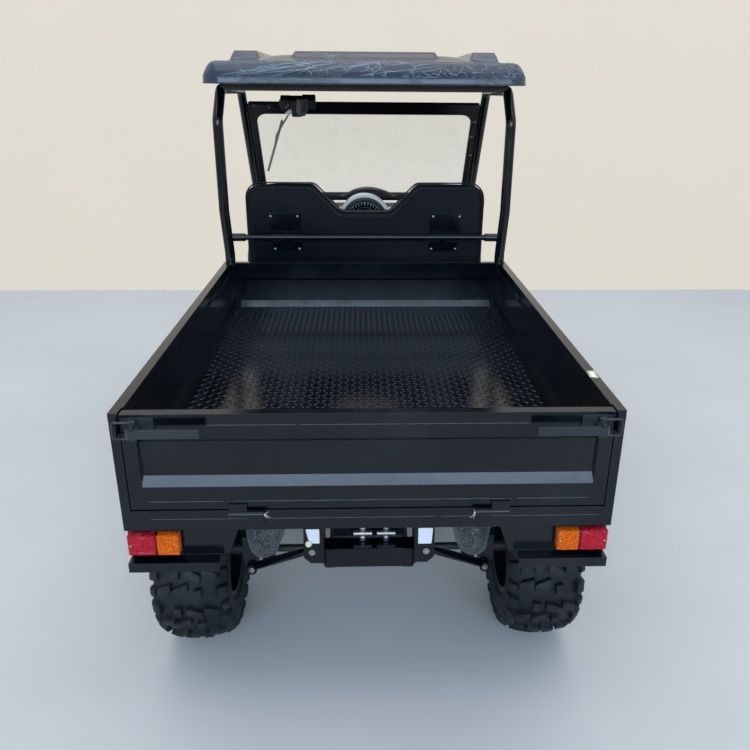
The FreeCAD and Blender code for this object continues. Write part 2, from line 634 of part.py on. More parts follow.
def makeBed():
    wallStart = rear + size.sillDepth
    side = profile("SideWall", "XZ", [
        (wallIn, size.bedFoot), (bedHalf, size.bedFoot), (bedHalf, size.bedTop), (wallIn, size.bedTop),
    ], (wallStart, bedFront))
    pocket(side, "OuterRecess", "XZ", ledgeRecess(bedHalf, -size.panelRecess),
           (wallStart + size.recessMargin, bedFront - size.recessMargin))
    innerDeep = wallIn + size.sideRecess
    pocket(side, "InnerRecess", "XZ", [
        (wallIn, size.sideRecessTop), (innerDeep, size.sideRecessTop - size.sideRecessSlope),
        (innerDeep, size.sideRecessFoot + size.sideRecessSlope), (wallIn, size.sideRecessFoot),
    ], (wallStart + size.recessMargin, bedFront - size.bedWall - size.frontPost))
    node("bed_sides", both("SideWalls", side))

    frontIn = bedFront - size.bedWall
    front = profile("FrontWall", "YZ", [
        (frontIn, size.bedFoot), (bedFront, size.bedFoot), (bedFront, size.bedTop), (frontIn, size.bedTop),
    ], (-wallIn, wallIn))
    recessHalf = wallIn - size.recessMargin
    pocket(front, "FrontRecess", "YZ", ledgeRecess(frontIn, size.panelRecess), (-recessHalf, recessHalf))
    floorFoot = size.bedFloorTop - size.bedFloorPlate
    cornerPost = box("FrontCornerPost", (wallIn - size.frontPost, wallIn),
                     (frontIn - size.frontPost, frontIn), (floorFoot, size.bedTop))
    node("bed_headboard", fused("Headboard", front, cornerPost, mirrored(cornerPost)))

    notchX = wallIn - size.frontPost - size.seatGap
    notchY = frontIn - size.frontPost - size.seatGap
    node("bed_floor", profile("BedFloor", "XY", [
        (-wallIn, wallStart), (wallIn, wallStart), (wallIn, notchY), (notchX, notchY), (notchX, frontIn),
        (-notchX, frontIn), (-notchX, notchY), (-wallIn, notchY),
    ], (floorFoot, size.bedFloorTop)))

    sill = box("RearSill", (-bedHalf, bedHalf), (rear, rear + size.sillDepth), (size.bedFoot, size.sillTop))
    post = box("RearPost", (bedHalf - size.postWidth, bedHalf), (rear, rear + size.sillDepth),
               (size.sillTop, size.bedTop))
    barrelY, barrelZ = gatePivot
    hingeEnd = size.gateHingeX + size.gateHingeSplit
    barrel = cylinder("SillBarrel", "X", (size.gateHingeX, barrelY, barrelZ), size.gateBarrel,
                      size.gateHingeSplit)
    leaf = box("SillLeaf", (size.gateHingeX, hingeEnd), (barrelY, rear), (barrelZ - size.gateLeaf, barrelZ))
    pin = cylinder("GatePin", "X", (size.gateHingeX, barrelY, barrelZ), size.gatePin, size.gateHingeLength)
    hookIn = loopReach - size.loopWire - size.loopPlay - size.hookWidth
    hook = box("LatchHook", (hookIn, hookIn + size.hookWidth),
               (rear - size.latchProud / 2, rear),
               (size.latchHigh - size.hookTall / 2, size.latchHigh + size.hookTall / 2))
    pieces = [sill]
    for piece in (post, barrel, leaf, pin, hook):
        pieces += [piece, mirrored(piece)]
    node("bed_rear_frame", fused("RearFrame", *pieces))

    channelEnd = frontIn
    channel = box("BedChannel", (size.channelX, size.channelX + size.channelWidth),
                  (rear + size.sillDepth, channelEnd), (size.channelFoot, floorFoot))
    pieces = [channel, mirrored(channel)]
    crossSpots = 6
    pitch = (channelEnd - rear - size.sillDepth - size.crossWidth) / (crossSpots - 1)
    for i in range(crossSpots):
        start = rear + size.sillDepth + pitch * i
        pieces.append(box("BedCross%d" % i, (-wallIn, wallIn), (start, start + size.crossWidth),
                          (size.crossFoot, floorFoot)))
    pivotY, pivotZ = tiltPivot
    earIn = size.channelX - size.earThick
    ear = profile("BedEar", "YZ", [
        (pivotY - size.hingeEye, size.crossFoot), (pivotY - size.hingeEye, pivotZ),
        (pivotY - size.hingeEye * 0.4, pivotZ - size.hingeEye * 0.8),
        (pivotY + size.hingeEye * 0.4, pivotZ - size.hingeEye * 0.8),
        (pivotY + size.hingeEye, pivotZ), (pivotY + size.hingeEye * 2, size.crossFoot),
    ], (earIn, size.channelX))
    bore = cylinder("BedEarBore", "X", (earIn - 1, pivotY, pivotZ), size.hingePin + size.pinPlay,
                    size.earThick + 2)
    drilled = cut("BedEarDrilled", ear, bore)
    node("bed_subframe", fused("BedSubframe", *(pieces + [drilled, mirrored(drilled)])))


def makeTailgate():
    half = bedHalf - size.postWidth - size.gateSideGap
    gate = profile("Gate", "YZ", [
        (rear, size.gateFoot), (rear + size.bedWall, size.gateFoot),
        (rear + size.bedWall, size.gateTop), (rear, size.gateTop),
    ], (-half, half))
    recessHalf = half - size.recessMargin
    pocket(gate, "GateRecess", "YZ", ledgeRecess(rear, size.panelRecess), (-recessHalf, recessHalf))
    barrelY, barrelZ = gatePivot
    start = size.gateHingeX + size.gateHingeSplit + size.seatGap
    long = size.gateHingeLength - size.gateHingeSplit - size.seatGap
    barrel = cylinder("GateBarrel", "X", (start, barrelY, barrelZ), size.gateBarrel, long)
    leaf = profile("GateLeafPlate", "YZ", [
        (barrelY, barrelZ), (rear - size.hingeClear, barrelZ), (rear - size.hingeClear, size.gateFoot),
        (rear, size.gateFoot), (rear, barrelZ + size.gateLeaf), (barrelY, barrelZ + size.gateLeaf),
    ], (start, start + long))
    bore = cylinder("GateBore", "X", (start - 1, barrelY, barrelZ), size.gatePin + size.pinPlay, long + 2)
    hinge = cut("GateHinge", fused("GateHingeSolid", barrel, leaf), bore)
    node("tailgate_panel", fused("GatePanel", gate, hinge, mirrored(hinge)))

    middle = size.latchHigh
    plate = box("LatchPlate", (latchOut - size.latchBase, latchOut),
                (rear - size.latchPlate, rear), (middle - size.loopHalf - 6, middle + size.loopHalf + 6))
    handle = profile("LatchHandle", "XY", [
        (latchOut - size.latchLong, rear - size.latchProud), (latchOut - 8, rear - size.latchProud),
        (latchOut, rear - size.latchProud + 8), (latchOut, rear - size.latchProud + size.latchBar + 12),
        (latchOut - 30, rear - size.latchProud + size.latchBar),
        (latchOut - size.latchLong, rear - size.latchProud + size.latchBar - 3),
    ], (middle - size.latchTall / 2, middle + size.latchTall / 2))
    stem = box("LatchStem", (latchOut - 30, latchOut - 6),
               (rear - size.latchProud + size.latchBar, rear - size.latchPlate),
               (middle - size.latchTall / 2, middle + size.latchTall / 2))
    wireY = rear - size.latchProud / 2 + size.loopWire
    loop = bentTube("LatchLoop", [
        (latchOut - 14, wireY, middle + size.loopHalf), (loopReach, wireY, middle + size.loopHalf),
        (loopReach, wireY, middle - size.loopHalf), (latchOut - 14, wireY, middle - size.loopHalf),
    ], size.loopWire, 7)
    yoke = box("LatchYoke", (latchOut - 24, latchOut - 8), (wireY - 5, wireY + 5),
               (middle - size.loopHalf - 5, middle + size.loopHalf + 5))
    latch = fused("Latch", plate, handle, stem, loop, yoke)
    node("tailgate_latches", both("Latches", latch))


def makeMudguards():
    plateY = ahead(size.guardAhead)
    plate = profile("GuardPlate", "XZ", [
        (bedHalf - size.guardWide, size.shelfHigh), (bedHalf, size.shelfHigh), (bedHalf, size.bedFoot),
        (bedHalf - size.guardTopWide, size.bedFoot),
    ], (plateY, plateY + size.guardPlate))
    shelfIn = bedHalf - size.shelfWide
    shelfRear = rear - size.shelfBack
    shelf = box("LampShelf", (shelfIn, bedHalf), (shelfRear, plateY + size.guardPlate),
                (size.shelfHigh - size.guardPlate, size.shelfHigh))
    lip = box("ShelfLip", (shelfIn, bedHalf), (shelfRear, shelfRear + size.guardPlate),
              (size.shelfHigh - size.shelfLip, size.shelfHigh - size.guardPlate))
    node("mudguards", both("Mudguards", fused("Mudguard", plate, shelf, lip)))
    lampTop = size.shelfHigh + size.seatGap + size.lampTall
    lampSpan = (rear + 3, plateY - size.seatGap)
    lampLevel = (size.shelfHigh + size.seatGap, lampTop)
    split = bedHalf - size.lampRed
    red = box("RedLamp", (split, bedHalf), lampSpan, lampLevel)
    amber = box("AmberLamp", (bedHalf - size.lampWidth, split - size.seatGap), lampSpan, lampLevel)
    node("tail_lamps_red", both("RedLamps", red))
    node("tail_lamps_amber", both("AmberLamps", amber))


# Starts of the two plates that hold an arm's bush
def bushSides(middle):
    reach = size.bushLength / 2 + size.seatGap
    return [("A", middle - reach - size.bracketPlate), ("B", middle + reach)]


# An upright plate behind or before a bush, from the crossbar's end up to the rail
def bracketPlate(name, start):
    inner = size.barHalf - size.bracketPlate
    outer = size.armPivotX + size.bushRadius + size.bracketEdge
    foot = size.rearPivotHigh - size.bushRadius - size.bracketEdge
    top = size.rearRailFoot - size.seatGap
    return profile(name, "XZ", [
        (inner, foot), (outer - size.bushRadius, foot), (outer, foot + size.bushRadius),
        (outer, top), (inner, top),
    ], (start, start + size.bracketPlate))


def makeChassis():
    rail = profile("Rail", "YZ", [
        (ahead(size.rearRailStart), size.rearRailFoot), (cab(size.kickStart), size.rearRailFoot),
        (cab(size.kickEnd), size.cabRailFoot), (cab(size.railEnd), size.cabRailFoot),
        (cab(size.railEnd), cabRailTop), (cab(size.kickEnd) + size.railTall / 3, cabRailTop),
        (cab(size.kickStart) + size.railTall / 3, rearRailTop), (ahead(size.rearRailStart), rearRailTop),
    ], (size.railX, railOut))
    pieces = [rail, mirrored(rail)]
    wide = size.beamWidth
    rearLevel = (size.rearRailFoot, rearRailTop)
    cabLevel = (size.cabBeamFoot, cabRailTop - size.cabBeamLower)
    beams = [
        # name, rear face, half length, level
        ("TailBeam", ahead(size.rearRailStart), size.railX, rearLevel),
        ("AxleBeam", rearAxleY + size.gearboxLong / 2 + size.beamGap, size.railX, rearLevel),
        ("RestBeam", cab(size.restAhead) - wide / 2, size.channelX + size.channelWidth, rearLevel),
        ("SeatBeam", postY - wide / 2, sillIn, cabLevel),
        ("StepBeam", cab(size.floorEnd) - wide - size.beamGap, sillIn, cabLevel),
        ("TowerBeamRear", frontAxleY - size.towerHalf, size.towerOut, cabLevel),
        ("TowerBeamFront", frontAxleY + size.towerHalf - wide, size.towerOut, cabLevel),
        ("NoseBeam", cab(size.railEnd) - wide, size.railX, cabLevel),
    ]
    for name, start, half, level in beams:
        pieces.append(box(name, (-half, half), (start, start + wide), level))
    for name, start in bushSides(rearAxleY + size.rearPivotBack):
        plate = profile("AxleBracket" + name, "XZ", [
            (size.railX, size.rearPivotHigh - size.bushRadius - size.bracketEdge),
            (size.armPivotX + size.bushRadius, size.rearPivotHigh - size.bushRadius - size.bracketEdge),
            (railOut, size.rearPivotHigh), (railOut, size.rearRailFoot + 1),
            (size.railX, size.rearRailFoot + 1),
        ], (start, start + size.bracketPlate))
        pieces += [plate, mirrored(plate)]
    pivotY, pivotZ = tiltPivot
    ear = profile("FrameEar", "YZ", [
        (ahead(size.rearRailStart + 120), rearRailTop - 5), (ahead(size.rearRailStart), rearRailTop - 35),
        (pivotY - size.hingeEye * 0.6, pivotZ - size.hingeEye * 0.7), (pivotY - size.hingeEye, pivotZ),
        (pivotY - size.hingeEye * 0.6, pivotZ + size.hingeEye * 0.8),
        (pivotY + size.hingeEye, pivotZ + size.hingeEye * 0.8),
    ], (railOut - size.railWidth / 2, railOut - size.railWidth / 2 + size.earThick))
    pinStart = railOut - size.railWidth / 2
    pin = cylinder("TiltPin", "X", (pinStart, pivotY, pivotZ), size.hingePin, size.channelX - pinStart)
    restX = size.channelX + size.channelWidth / 2
    rest = box("RestPad", (restX - size.restPad / 2, restX + size.restPad / 2),
               (cab(size.restAhead) - size.restPad / 2, cab(size.restAhead) + size.restPad / 2),
               (rearRailTop, size.channelFoot - size.seatGap))
    perch = box("ShockPerch", (railOut, size.shockTopX + size.shockTube),
                (rearAxleY - size.shockBehind - 26, rearAxleY - size.shockBehind + 26),
                (size.shockTopHigh, rearRailTop))
    towerIn = size.towerOut - size.towerPlate
    tower = box("FrontTower", (towerIn, size.towerOut),
                (frontAxleY - size.towerHalf, frontAxleY + size.towerHalf),
                (size.cabBeamFoot, size.towerTop))
    seatTop = size.towerTop - size.towerCap + size.shockTopPlay
    shelf = box("ShockSeat", (size.towerOut, size.towerOut + size.shockTube * 2 + 6),
                (frontAxleY - 32, frontAxleY + 32), (seatTop, seatTop + size.towerPlate))
    for piece in (ear, pin, rest, perch, tower, shelf):
        pieces += [piece, mirrored(piece)]
    node("chassis_frame", fused("ChassisFrame", *pieces))

    barY = ahead(size.barAhead)
    bar = box("BarSolid", (-size.barHalf, size.barHalf), (barY, barY + size.barDeep),
              (size.barFoot, size.barTop))
    hollow = box("BarHollow", (-size.barHalf - 1, size.barHalf + 1),
                 (barY + size.barPlate, barY + size.barDeep + 1),
                 (size.barFoot + size.barPlate, size.barTop - size.barPlate))
    hole = cylinder("TowHole", "Z", (0, barY + size.barDeep / 2, size.barFoot - 1), size.towHole,
                    size.barTop - size.barFoot + 2)
    channel = cut("BarChannel", cut("BarOpen", bar, hollow), hole)
    pieces = [channel]
    bushY = rearAxleY - size.rearPivotBack
    for name, start in bushSides(bushY):
        plate = bracketPlate("RearBracket" + name, start)
        pieces += [plate, mirrored(plate)]
    gusset = box("BracketGusset", (size.barHalf - size.bracketPlate, size.barHalf),
                 (bushY - size.bushLength / 2 - size.bracketPlate, barY + size.barDeep),
                 (size.barFoot, size.rearRailFoot - size.seatGap))
    pieces += [gusset, mirrored(gusset)]
    studY = barY + size.barDeep / 2 + size.studBehind
    studs = []
    for side in (-1, 1):
        x = side * size.studSpacing / 2 + size.studOffset
        stud = cylinder("Stud%d" % (side + 1), "Z", (x, studY, size.barTop), size.studRadius, size.studTall)
        barrel = cylinder("StudBarrel%d" % (side + 1), "X",
                          (x - size.barrelLength / 2, studY, size.barTop + size.barrelUp),
                          size.barrelRadius, size.barrelLength)
        studs.append(fused("StudSet%d" % (side + 1), stud, barrel))
    node("rear_crossbar", fused("Crossbar", *pieces))
    node("crossbar_studs", group("CrossbarStuds", *studs))


def makeDrive():
    half = size.gearboxWidth / 2
    front = ahead(size.barAhead + size.barDeep) + size.seatGap
    end = front + size.gearboxLong
    outline = [(front, size.gearboxFoot + size.gearboxSlopeTall),
               (front + size.gearboxSlopeLong, size.gearboxFoot), (end, size.gearboxFoot),
               (end, size.gearboxTop), (front, size.gearboxTop)]
    node("transaxle", profile("Transaxle", "YZ", outline, (-half, half)))
    start = cab(size.seatBackAhead) + 40
    node("battery_pack", box("Battery", (-size.batteryWidth / 2, size.batteryWidth / 2),
                             (start, start + size.batteryLong),
                             (size.floorTop, size.floorTop + size.batteryTall)))


def makeRearSuspension():
    part = (size.shockFootX - size.armPivotX) / (size.armEyeX - size.armPivotX)
    tieHigh = size.rearPivotHigh + part * (size.armEyeHigh - size.rearPivotHigh)
    tieHalf = size.rearPivotBack + part * (size.armEyeSpread - size.rearPivotBack)
    boltLong = tieHalf - size.shockBehind + size.shockEye / 2
    eyeHalf = size.armEyeSpread + size.armEyePast

    # An A-arm; side is 1 on the right
    def rearArm(name, side):
        pivotX = side * size.armPivotX
        eyeX = side * size.armEyeX
        tubes = []
        for end in (-1, 1):
            pivotY = rearAxleY + end * size.rearPivotBack
            tubes.append(rod("%sTube%d" % (name, end + 1), (pivotX, pivotY, size.rearPivotHigh),
                             (eyeX, rearAxleY + end * size.armEyeSpread, size.armEyeHigh), size.armTube))
            tubes.append(cylinder("%sBush%d" % (name, end + 1), "Y",
                                  (pivotX, pivotY - size.bushLength / 2, size.rearPivotHigh),
                                  size.bushRadius, size.bushLength))
        tubes.append(cylinder(name + "Bolt", "Y", (side * size.shockFootX, rearAxleY - tieHalf, tieHigh),
                              size.armTube, boltLong))
        tubes.append(cylinder(name + "Eye", "Y", (eyeX, rearAxleY - eyeHalf, size.armEyeHigh),
                              size.armTube + size.bushWall, eyeHalf * 2))
        return fused(name, *tubes)

    node("rear_arms", group("RearArms", rearArm("RightArm", 1), rearArm("LeftArm", -1)))

    knuckleFoot = size.armEyeHigh + size.armTube + size.bushWall
    block = box("RearKnuckleBlock", (size.knuckleX, size.knuckleX + size.knuckleWide),
                (rearAxleY - size.knuckleLong / 2, rearAxleY + size.knuckleLong / 2),
                (knuckleFoot - 12, axleHigh + size.knuckleTall / 2))
    notch = cylinder("KnuckleNotch", "Y", (size.armEyeX, rearAxleY - size.knuckleLong, size.armEyeHigh),
                     size.armTube + size.bushWall + size.seatGap, size.knuckleLong * 2)
    rimMiddle = size.rearTrack / 2
    spindleEnd = rimMiddle + size.rearTyreWidth / 2 - size.rimDiscIn
    spindleStart = size.knuckleX + size.knuckleWide
    spindle = cylinder("RearSpindle", "X", (spindleStart, rearAxleY, axleHigh), size.spindle,
                       spindleEnd - spindleStart)
    shaftStart = size.gearboxWidth / 2 + size.seatGap
    shaft = cylinder("DriveShaft", "X", (shaftStart, rearAxleY, axleHigh), size.axleShaft,
                     size.knuckleX - shaftStart)
    boot = cylinder("ShaftBoot", "X", (shaftStart, rearAxleY, axleHigh), size.axleBoot, size.axleBootLong)
    knuckle = fused("RearKnuckle", cut("KnuckleSeat", block, notch), spindle, shaft, boot)
    node("rear_knuckles", both("RearKnuckles", knuckle))

    shockY = rearAxleY - size.shockBehind
    top = (size.shockTopX, shockY, size.shockTopHigh - size.shockTopPlay)
    foot = (size.shockFootX, shockY, tieHigh)
    node("rear_shocks", both("RearShocks", shockWithEye("RearShock", foot, top, size.armTube)))
    along = [
        # sleeve end, share of the way up the shock
        ("foot", 0.22),
        ("top", 0.98),
    ]
    ends = {name: [a + (b - a) * share for a, b in zip(foot, top)] for name, share in along}
    outer = cone("SleeveOuter", ends["foot"], ends["top"], size.sleeveFoot, size.sleeveTop)
    inner = cone("SleeveInner", ends["foot"], ends["top"], size.sleeveFoot - size.sleeveWall,
                 size.sleeveTop - size.sleeveWall)
    node("shock_sleeves", both("ShockSleeves", cut("Sleeve", outer, inner)))


# A damper from a bolt along Y up to its seat
def shockWithEye(name, foot, top, bolt):
    middle = [(a + b) * 0.5 for a, b in zip(foot, top)]
    eyeStart = (foot[0], foot[1] - size.shockEye / 2, foot[2])
    eye = cylinder(name + "Eye", "Y", eyeStart, bolt + size.shockEyeWall, size.shockEye)
    bore = cylinder(name + "Bore", "Y", (foot[0], eyeStart[1] - 1, foot[2]), bolt + size.seatGap,
                    size.shockEye + 2)
    away = (point(top) - point(foot)).normalize() * float(bolt + size.shockEyeWall / 2)
    body = fused(name + "Solid", rod(name + "Tube", point(foot) + away, middle, size.shockTube),
                 rod(name + "Rod", middle, top, size.shockRod), eye)
    return cut(name, body, bore)


# Rings of the tyre's half section
tyreRings = [
    # share of the way from bead to tread, share of the half width
    (0.0, 0.80),
    (0.095, 0.80),
    (0.42, 1.0),
    (1.0, 0.88),
]
tyreSides = 24
lugPitches = 12


def ringPoints(x, radius, turn=0.0):
    spots = []
    for i in range(tyreSides):
        angle = 2 * math.pi * (i + turn) / tyreSides
        spots.append(Vec(x, radius * math.cos(angle), radius * math.sin(angle)))
    return spots


def stripFaces(first, second):
    faces = []
    count = len(first)
    for i in range(count):
        j = (i + 1) % count
        faces.append(Part.Face(Part.makePolygon([first[i], first[j], second[j], second[i], first[i]])))
    return faces


def lugBlock(x, angle, radius, across, along, skew, height):
    corners = []
    for level in (-8.0, height):
        ring = []
        for a, b in ((-1, -1), (1, -1), (1, 1), (-1, 1)):
            taper = 0.86 if level > 0 else 1.0
            u = a * across * taper / 2
            v = b * along * taper / 2
            w = v + math.tan(skew) * u
            ring.append(Vec(x + u, w, radius + level))
        corners.append(ring)
    low, high = corners
    faces = [Part.Face(Part.makePolygon(low + [low[0]])), Part.Face(Part.makePolygon(high + [high[0]]))]
    faces += stripFaces(low, high)
    solid = Part.makeSolid(Part.makeShell(faces))
    solid.rotate(Vec(), Vec(1, 0, 0), math.degrees(angle))
    return solid


def tyreShape(width):
    base = float(size.tyreRadius - size.lugHeight)
    bead = float(size.rimRadius + size.seatGap)
    half = float(width) / 2
    rings = [(bead + share * (base - bead), wide * half) for share, wide in tyreRings]
    walk = [(x, r) for r, x in rings] + [(-x, r) for r, x in reversed(rings)]
    rows = [ringPoints(x, r / math.cos(math.pi / tyreSides) if r == bead else r) for x, r in walk]
    faces = []
    for first, second in zip(rows, rows[1:] + rows[:1]):
        faces += stripFaces(first, second)
    carcass = Part.makeSolid(Part.makeShell(faces))
    if carcass.Volume < 0:
        carcass.reverse()
    blocks = []
    height = float(size.lugHeight)
    lugRows = [
        # share of the half width, share of a pitch, across share, along mm, skew degrees, lower by
        (0.18, 0.0, 0.80, 36, 27, 0.0),
        (-0.18, 0.5, 0.80, 36, -27, 0.0),
        (0.77, 0.5, 0.30, 44, -8, 1.0),
        (-0.77, 0.0, 0.30, 44, 8, 1.0),
    ]
    for share, shift, across, along, skew, lower in lugRows:
        for i in range(lugPitches):
            angle = 2 * math.pi * (i + shift) / lugPitches
            blocks.append(lugBlock(share * half, angle, base, across * half, along, math.radians(skew),
                                   height - lower))
    return carcass.fuse(blocks).removeSplitter()


def rimShape(width, out):
    half = float(width) * 0.80 / 2 + 6 + float(size.seatGap)
    r = float(size.rimRadius)
    flange = float(size.rimFlange)
    wall = float(size.rimWall)
    inner = r - wall
    face = half - float(size.rimDiscIn)
    disc = float(size.rimDisc)
    hub = float(size.hubRadius)
    bore = float(size.spindle + size.pinPlay)
    back = face - float(size.hubLength)
    outline = [
        (half, flange), (half - 4, flange), (half - 6, r),
        (-half + 6, r), (-half + 4, flange), (-half, flange),
        (-half, inner), (face - disc, inner), (face - disc - 18, hub + 30), (face - disc - 18, hub),
        (back, hub), (back, bore), (face + 12, bore), (face + 12, hub - 12), (face - 18, hub + 22),
        (face, inner), (half, inner),
    ]
    spots = [Vec(out * x, y, 0) for x, y in outline]
    rimFace = Part.Face(Part.makePolygon(spots + [spots[0]]))
    return rimFace.revolve(Vec(), Vec(1, 0, 0), 360)


def makeWheels():
    wheels = [
        # suffix, side, track, axle, width
        ("rear_left", -1, size.rearTrack, rearAxleY, size.rearTyreWidth),
        ("rear_right", 1, size.rearTrack, rearAxleY, size.rearTyreWidth),
        ("front_left", -1, size.frontTrack, frontAxleY, size.frontTyreWidth),
        ("front_right", 1, size.frontTrack, frontAxleY, size.frontTyreWidth),
    ]
    shapes = {}
    for suffix, side, track, axle, width in wheels:
        if float(width) not in shapes:
            shapes[float(width)] = tyreShape(width)
        tyre = doc.addObject("Part::Feature", "Tyre_" + suffix)
        tyre.Shape = shapes[float(width)]
        rim = doc.addObject("Part::Feature", "Rim_" + suffix)
        rim.Shape = rimShape(width, side)
        for item, label in ((tyre, "tyre_"), (rim, "rim_")):
            for place, number in zip("xyz", (side * track / 2, axle, axleHigh)):
                bind(item, "Placement.Base." + place, number)
            node(label + suffix, item)


def makeFrontSuspension():
    kingX = size.kingpinX
    tubeRadius = size.armTube - size.armThinner
    lowBoss = size.kingpinFoot - size.ballTall - size.ballTaller
    tubeEnd = lowBoss + tubeRadius
    pivotX = railOut + tubeRadius + size.bushWall + size.seatGap
    spread = size.frontPivotBack
    tubes = []
    for side in (-1, 1):
        pivotY = frontAxleY + side * spread
        tubes.append(rod("LowerArm%d" % (side + 1), (pivotX, pivotY, size.lowerPivotHigh),
                         (kingX - 8, frontAxleY + side * 6, tubeEnd), tubeRadius))
        tubes.append(cylinder("LowerBush%d" % (side + 1), "Y",
                              (pivotX, pivotY - size.frontBush / 2, size.lowerPivotHigh),
                              tubeRadius + size.bushWall,
                              size.frontBush))
    share = (size.frontShockX - pivotX) / (kingX - 8 - pivotX)
    tieHigh = size.lowerPivotHigh + share * (tubeEnd - size.lowerPivotHigh)
    tieHalf = spread + share * (6 - spread)
    tubes.append(cylinder("LowerTie", "Y", (size.frontShockX, frontAxleY - tieHalf, tieHigh), tubeRadius,
                          tieHalf * 2))
    tubes.append(cylinder("LowerBoss", "Z", (kingX, frontAxleY, lowBoss), size.ballBoss,
                          size.ballTall + size.ballTaller))
    tubes.append(cylinder("LowerPin", "Z", (kingX, frontAxleY, size.kingpinFoot), size.ballPin,
                          size.ballDepth))
    lower = fused("LowerFrontArm", *tubes)

    inner = size.towerOut + size.seatGap
    wide = size.upperSpread
    plateFoot = size.kingpinTop + size.ballTall / 2 - size.upperPlate / 2
    plate = profile("UpperPlateArm", "XY", [
        (inner, frontAxleY - wide), (inner + 24, frontAxleY - wide),
        (kingX + 4, frontAxleY - size.ballBoss + 2), (kingX + 4, frontAxleY + size.ballBoss - 2),
        (inner + 24, frontAxleY + wide), (inner, frontAxleY + wide),
        (inner, frontAxleY + wide - 30), (kingX - size.ballBoss - 8, frontAxleY),
        (inner, frontAxleY - wide + 30),
    ], (plateFoot, plateFoot + size.upperPlate))
    boss = cylinder("UpperBoss", "Z", (kingX, frontAxleY, size.kingpinTop), size.ballBoss, size.ballTall)
    pin = cylinder("UpperPin", "Z", (kingX, frontAxleY, size.kingpinTop - size.ballDepth), size.ballPin,
                   size.ballDepth)
    upper = fused("UpperFrontArm", plate, boss, pin)
    node("front_arms", group("FrontArms", lower, mirrored(lower), upper, mirrored(upper)))

    shockY = frontAxleY
    foot = (size.frontShockX, shockY, tieHigh)
    top = (size.towerOut + size.shockTube + size.shockTopPlay, shockY, size.towerTop - size.towerCap)
    node("front_shocks", both("FrontShocks", shockWithEye("FrontShock", foot, top, tubeRadius)))

    # Knuckles with their spindles; steering arms reach ahead to the rack
    low = size.kingpinFoot + size.seatGap
    high = size.kingpinTop - size.seatGap
    half = size.frontKnuckle / 2
    block = fused("KnuckleSolid",
                  box("KnuckleBlock", (kingX - half, kingX + half), (frontAxleY - half, frontAxleY + half),
                      (low + size.knuckleNeck, high)),
                  cylinder("KnuckleFoot", "Z", (kingX, frontAxleY, low), size.ballBoss - 2,
                           size.knuckleNeck + 1))
    for name, start in (("Lower", low - 1), ("Upper", high - size.ballDepth - 1)):
        hole = cylinder(name + "BallHole", "Z", (kingX, frontAxleY, start), size.ballPin + size.pinPlay,
                        size.ballDepth + 2)
        block = cut(name + "BallCut", block, hole)
    spindleEnd = size.frontTrack / 2 + size.frontTyreWidth * 0.4 + 6 - size.rimDiscIn
    spindle = cylinder("FrontSpindle", "X", (kingX + half, frontAxleY, axleHigh), size.spindle,
                       spindleEnd - kingX - half)
    steerArm = box("SteerArm", (kingX - 40, kingX - 10), (frontAxleY + 10, frontAxleY + size.steerArm),
                   (axleHigh + 20, axleHigh + 32))
    knuckle = fused("FrontKnuckle", block, spindle, steerArm)
    node("knuckle_right", knuckle)
    node("knuckle_left", mirrored(knuckle))

    rackY = cab(size.rackAhead)
    rackHalf = railOut + size.rackPast
    rack = cylinder("RackTube", "X", (-rackHalf, rackY, cabRailTop + size.columnRadius + 6),
                    size.columnRadius, rackHalf * 2)
    rackFoot = box("RackFoot", (-size.railX, size.railX), (rackY - 14, rackY + 14),
                   (cabRailTop - 40, cabRailTop + 14))
    node("steering_rack", fused("SteeringRack", rack, rackFoot))


def makeCabFrame():
    pillarRun = math.tan(math.radians(float(size.pillarSlope)))
    pillarFootY = cab(size.pillarTopAhead) + (size.roofRailHigh - size.cowlHigh) * pillarRun
    hoop = bentTube("SideHoop", [
        (size.postFootX, postY, size.postFootHigh),
        (size.postFootX, postY, size.postLean),
        (size.postX, postY, size.postStraight),
        (size.postX, postY, size.postTop),
        (size.roofRailX, cab(size.roofRailAhead), size.roofRailHigh),
        (size.roofRailX, cab(size.pillarTopAhead), size.roofRailHigh),
        (size.roofRailX, pillarFootY, size.cowlHigh),
        (size.postFootX, cab(size.cowlPostAhead), size.cowlHigh - size.cowlPostDrop),
        (size.postFootX, cab(size.floorEnd - size.tubeRadius), size.sillHigh + size.sillPostRise),
        (size.postFootX, cab(size.floorEnd - size.tubeRadius), size.sillHigh),
    ], size.tubeRadius, size.tubeBend)
    sill = cylinder("SillTube", "Y", (size.postFootX, postY, size.sillHigh), size.tubeRadius - 2,
                    cab(size.floorEnd - size.tubeRadius) - postY)
    side = fused("CabSide", hoop, sill)
    beam = box("RoofBeam", (-size.roofRailX, size.roofRailX),
               (cab(size.roofBeamAhead), cab(size.roofBeamAhead) + size.roofBeamTall),
               (size.roofBeamFoot, size.roofBeamFoot + size.roofBeamTall))
    node("cab_frame", fused("CabFrame", side, mirrored(side), beam))

    lean = (size.postX - size.postFootX) / (size.postStraight - size.postLean)
    inner = (size.postFootX + lean * (size.grabHigh - size.postLean) - size.tubeRadius
             - lean * (size.grabSleeve + 1) - size.seatGap)
    bar = cylinder("GrabBar", "X", (-inner, postY, size.grabHigh), size.grabRadius, inner * 2)
    sleeve = cylinder("GrabSleeve", "X", (inner - size.grabSleeveLong, postY, size.grabHigh),
                      size.grabSleeve, size.grabSleeveLong)
    grab = fused("GrabBarSet", bar, sleeve, mirrored(sleeve))
    node("grab_bar", grab)


# Outline of a rectangle between two corners
def rectangle(a, b):
    return [(a[0], b[0]), (a[1], b[0]), (a[1], b[1]), (a[0], b[1])]


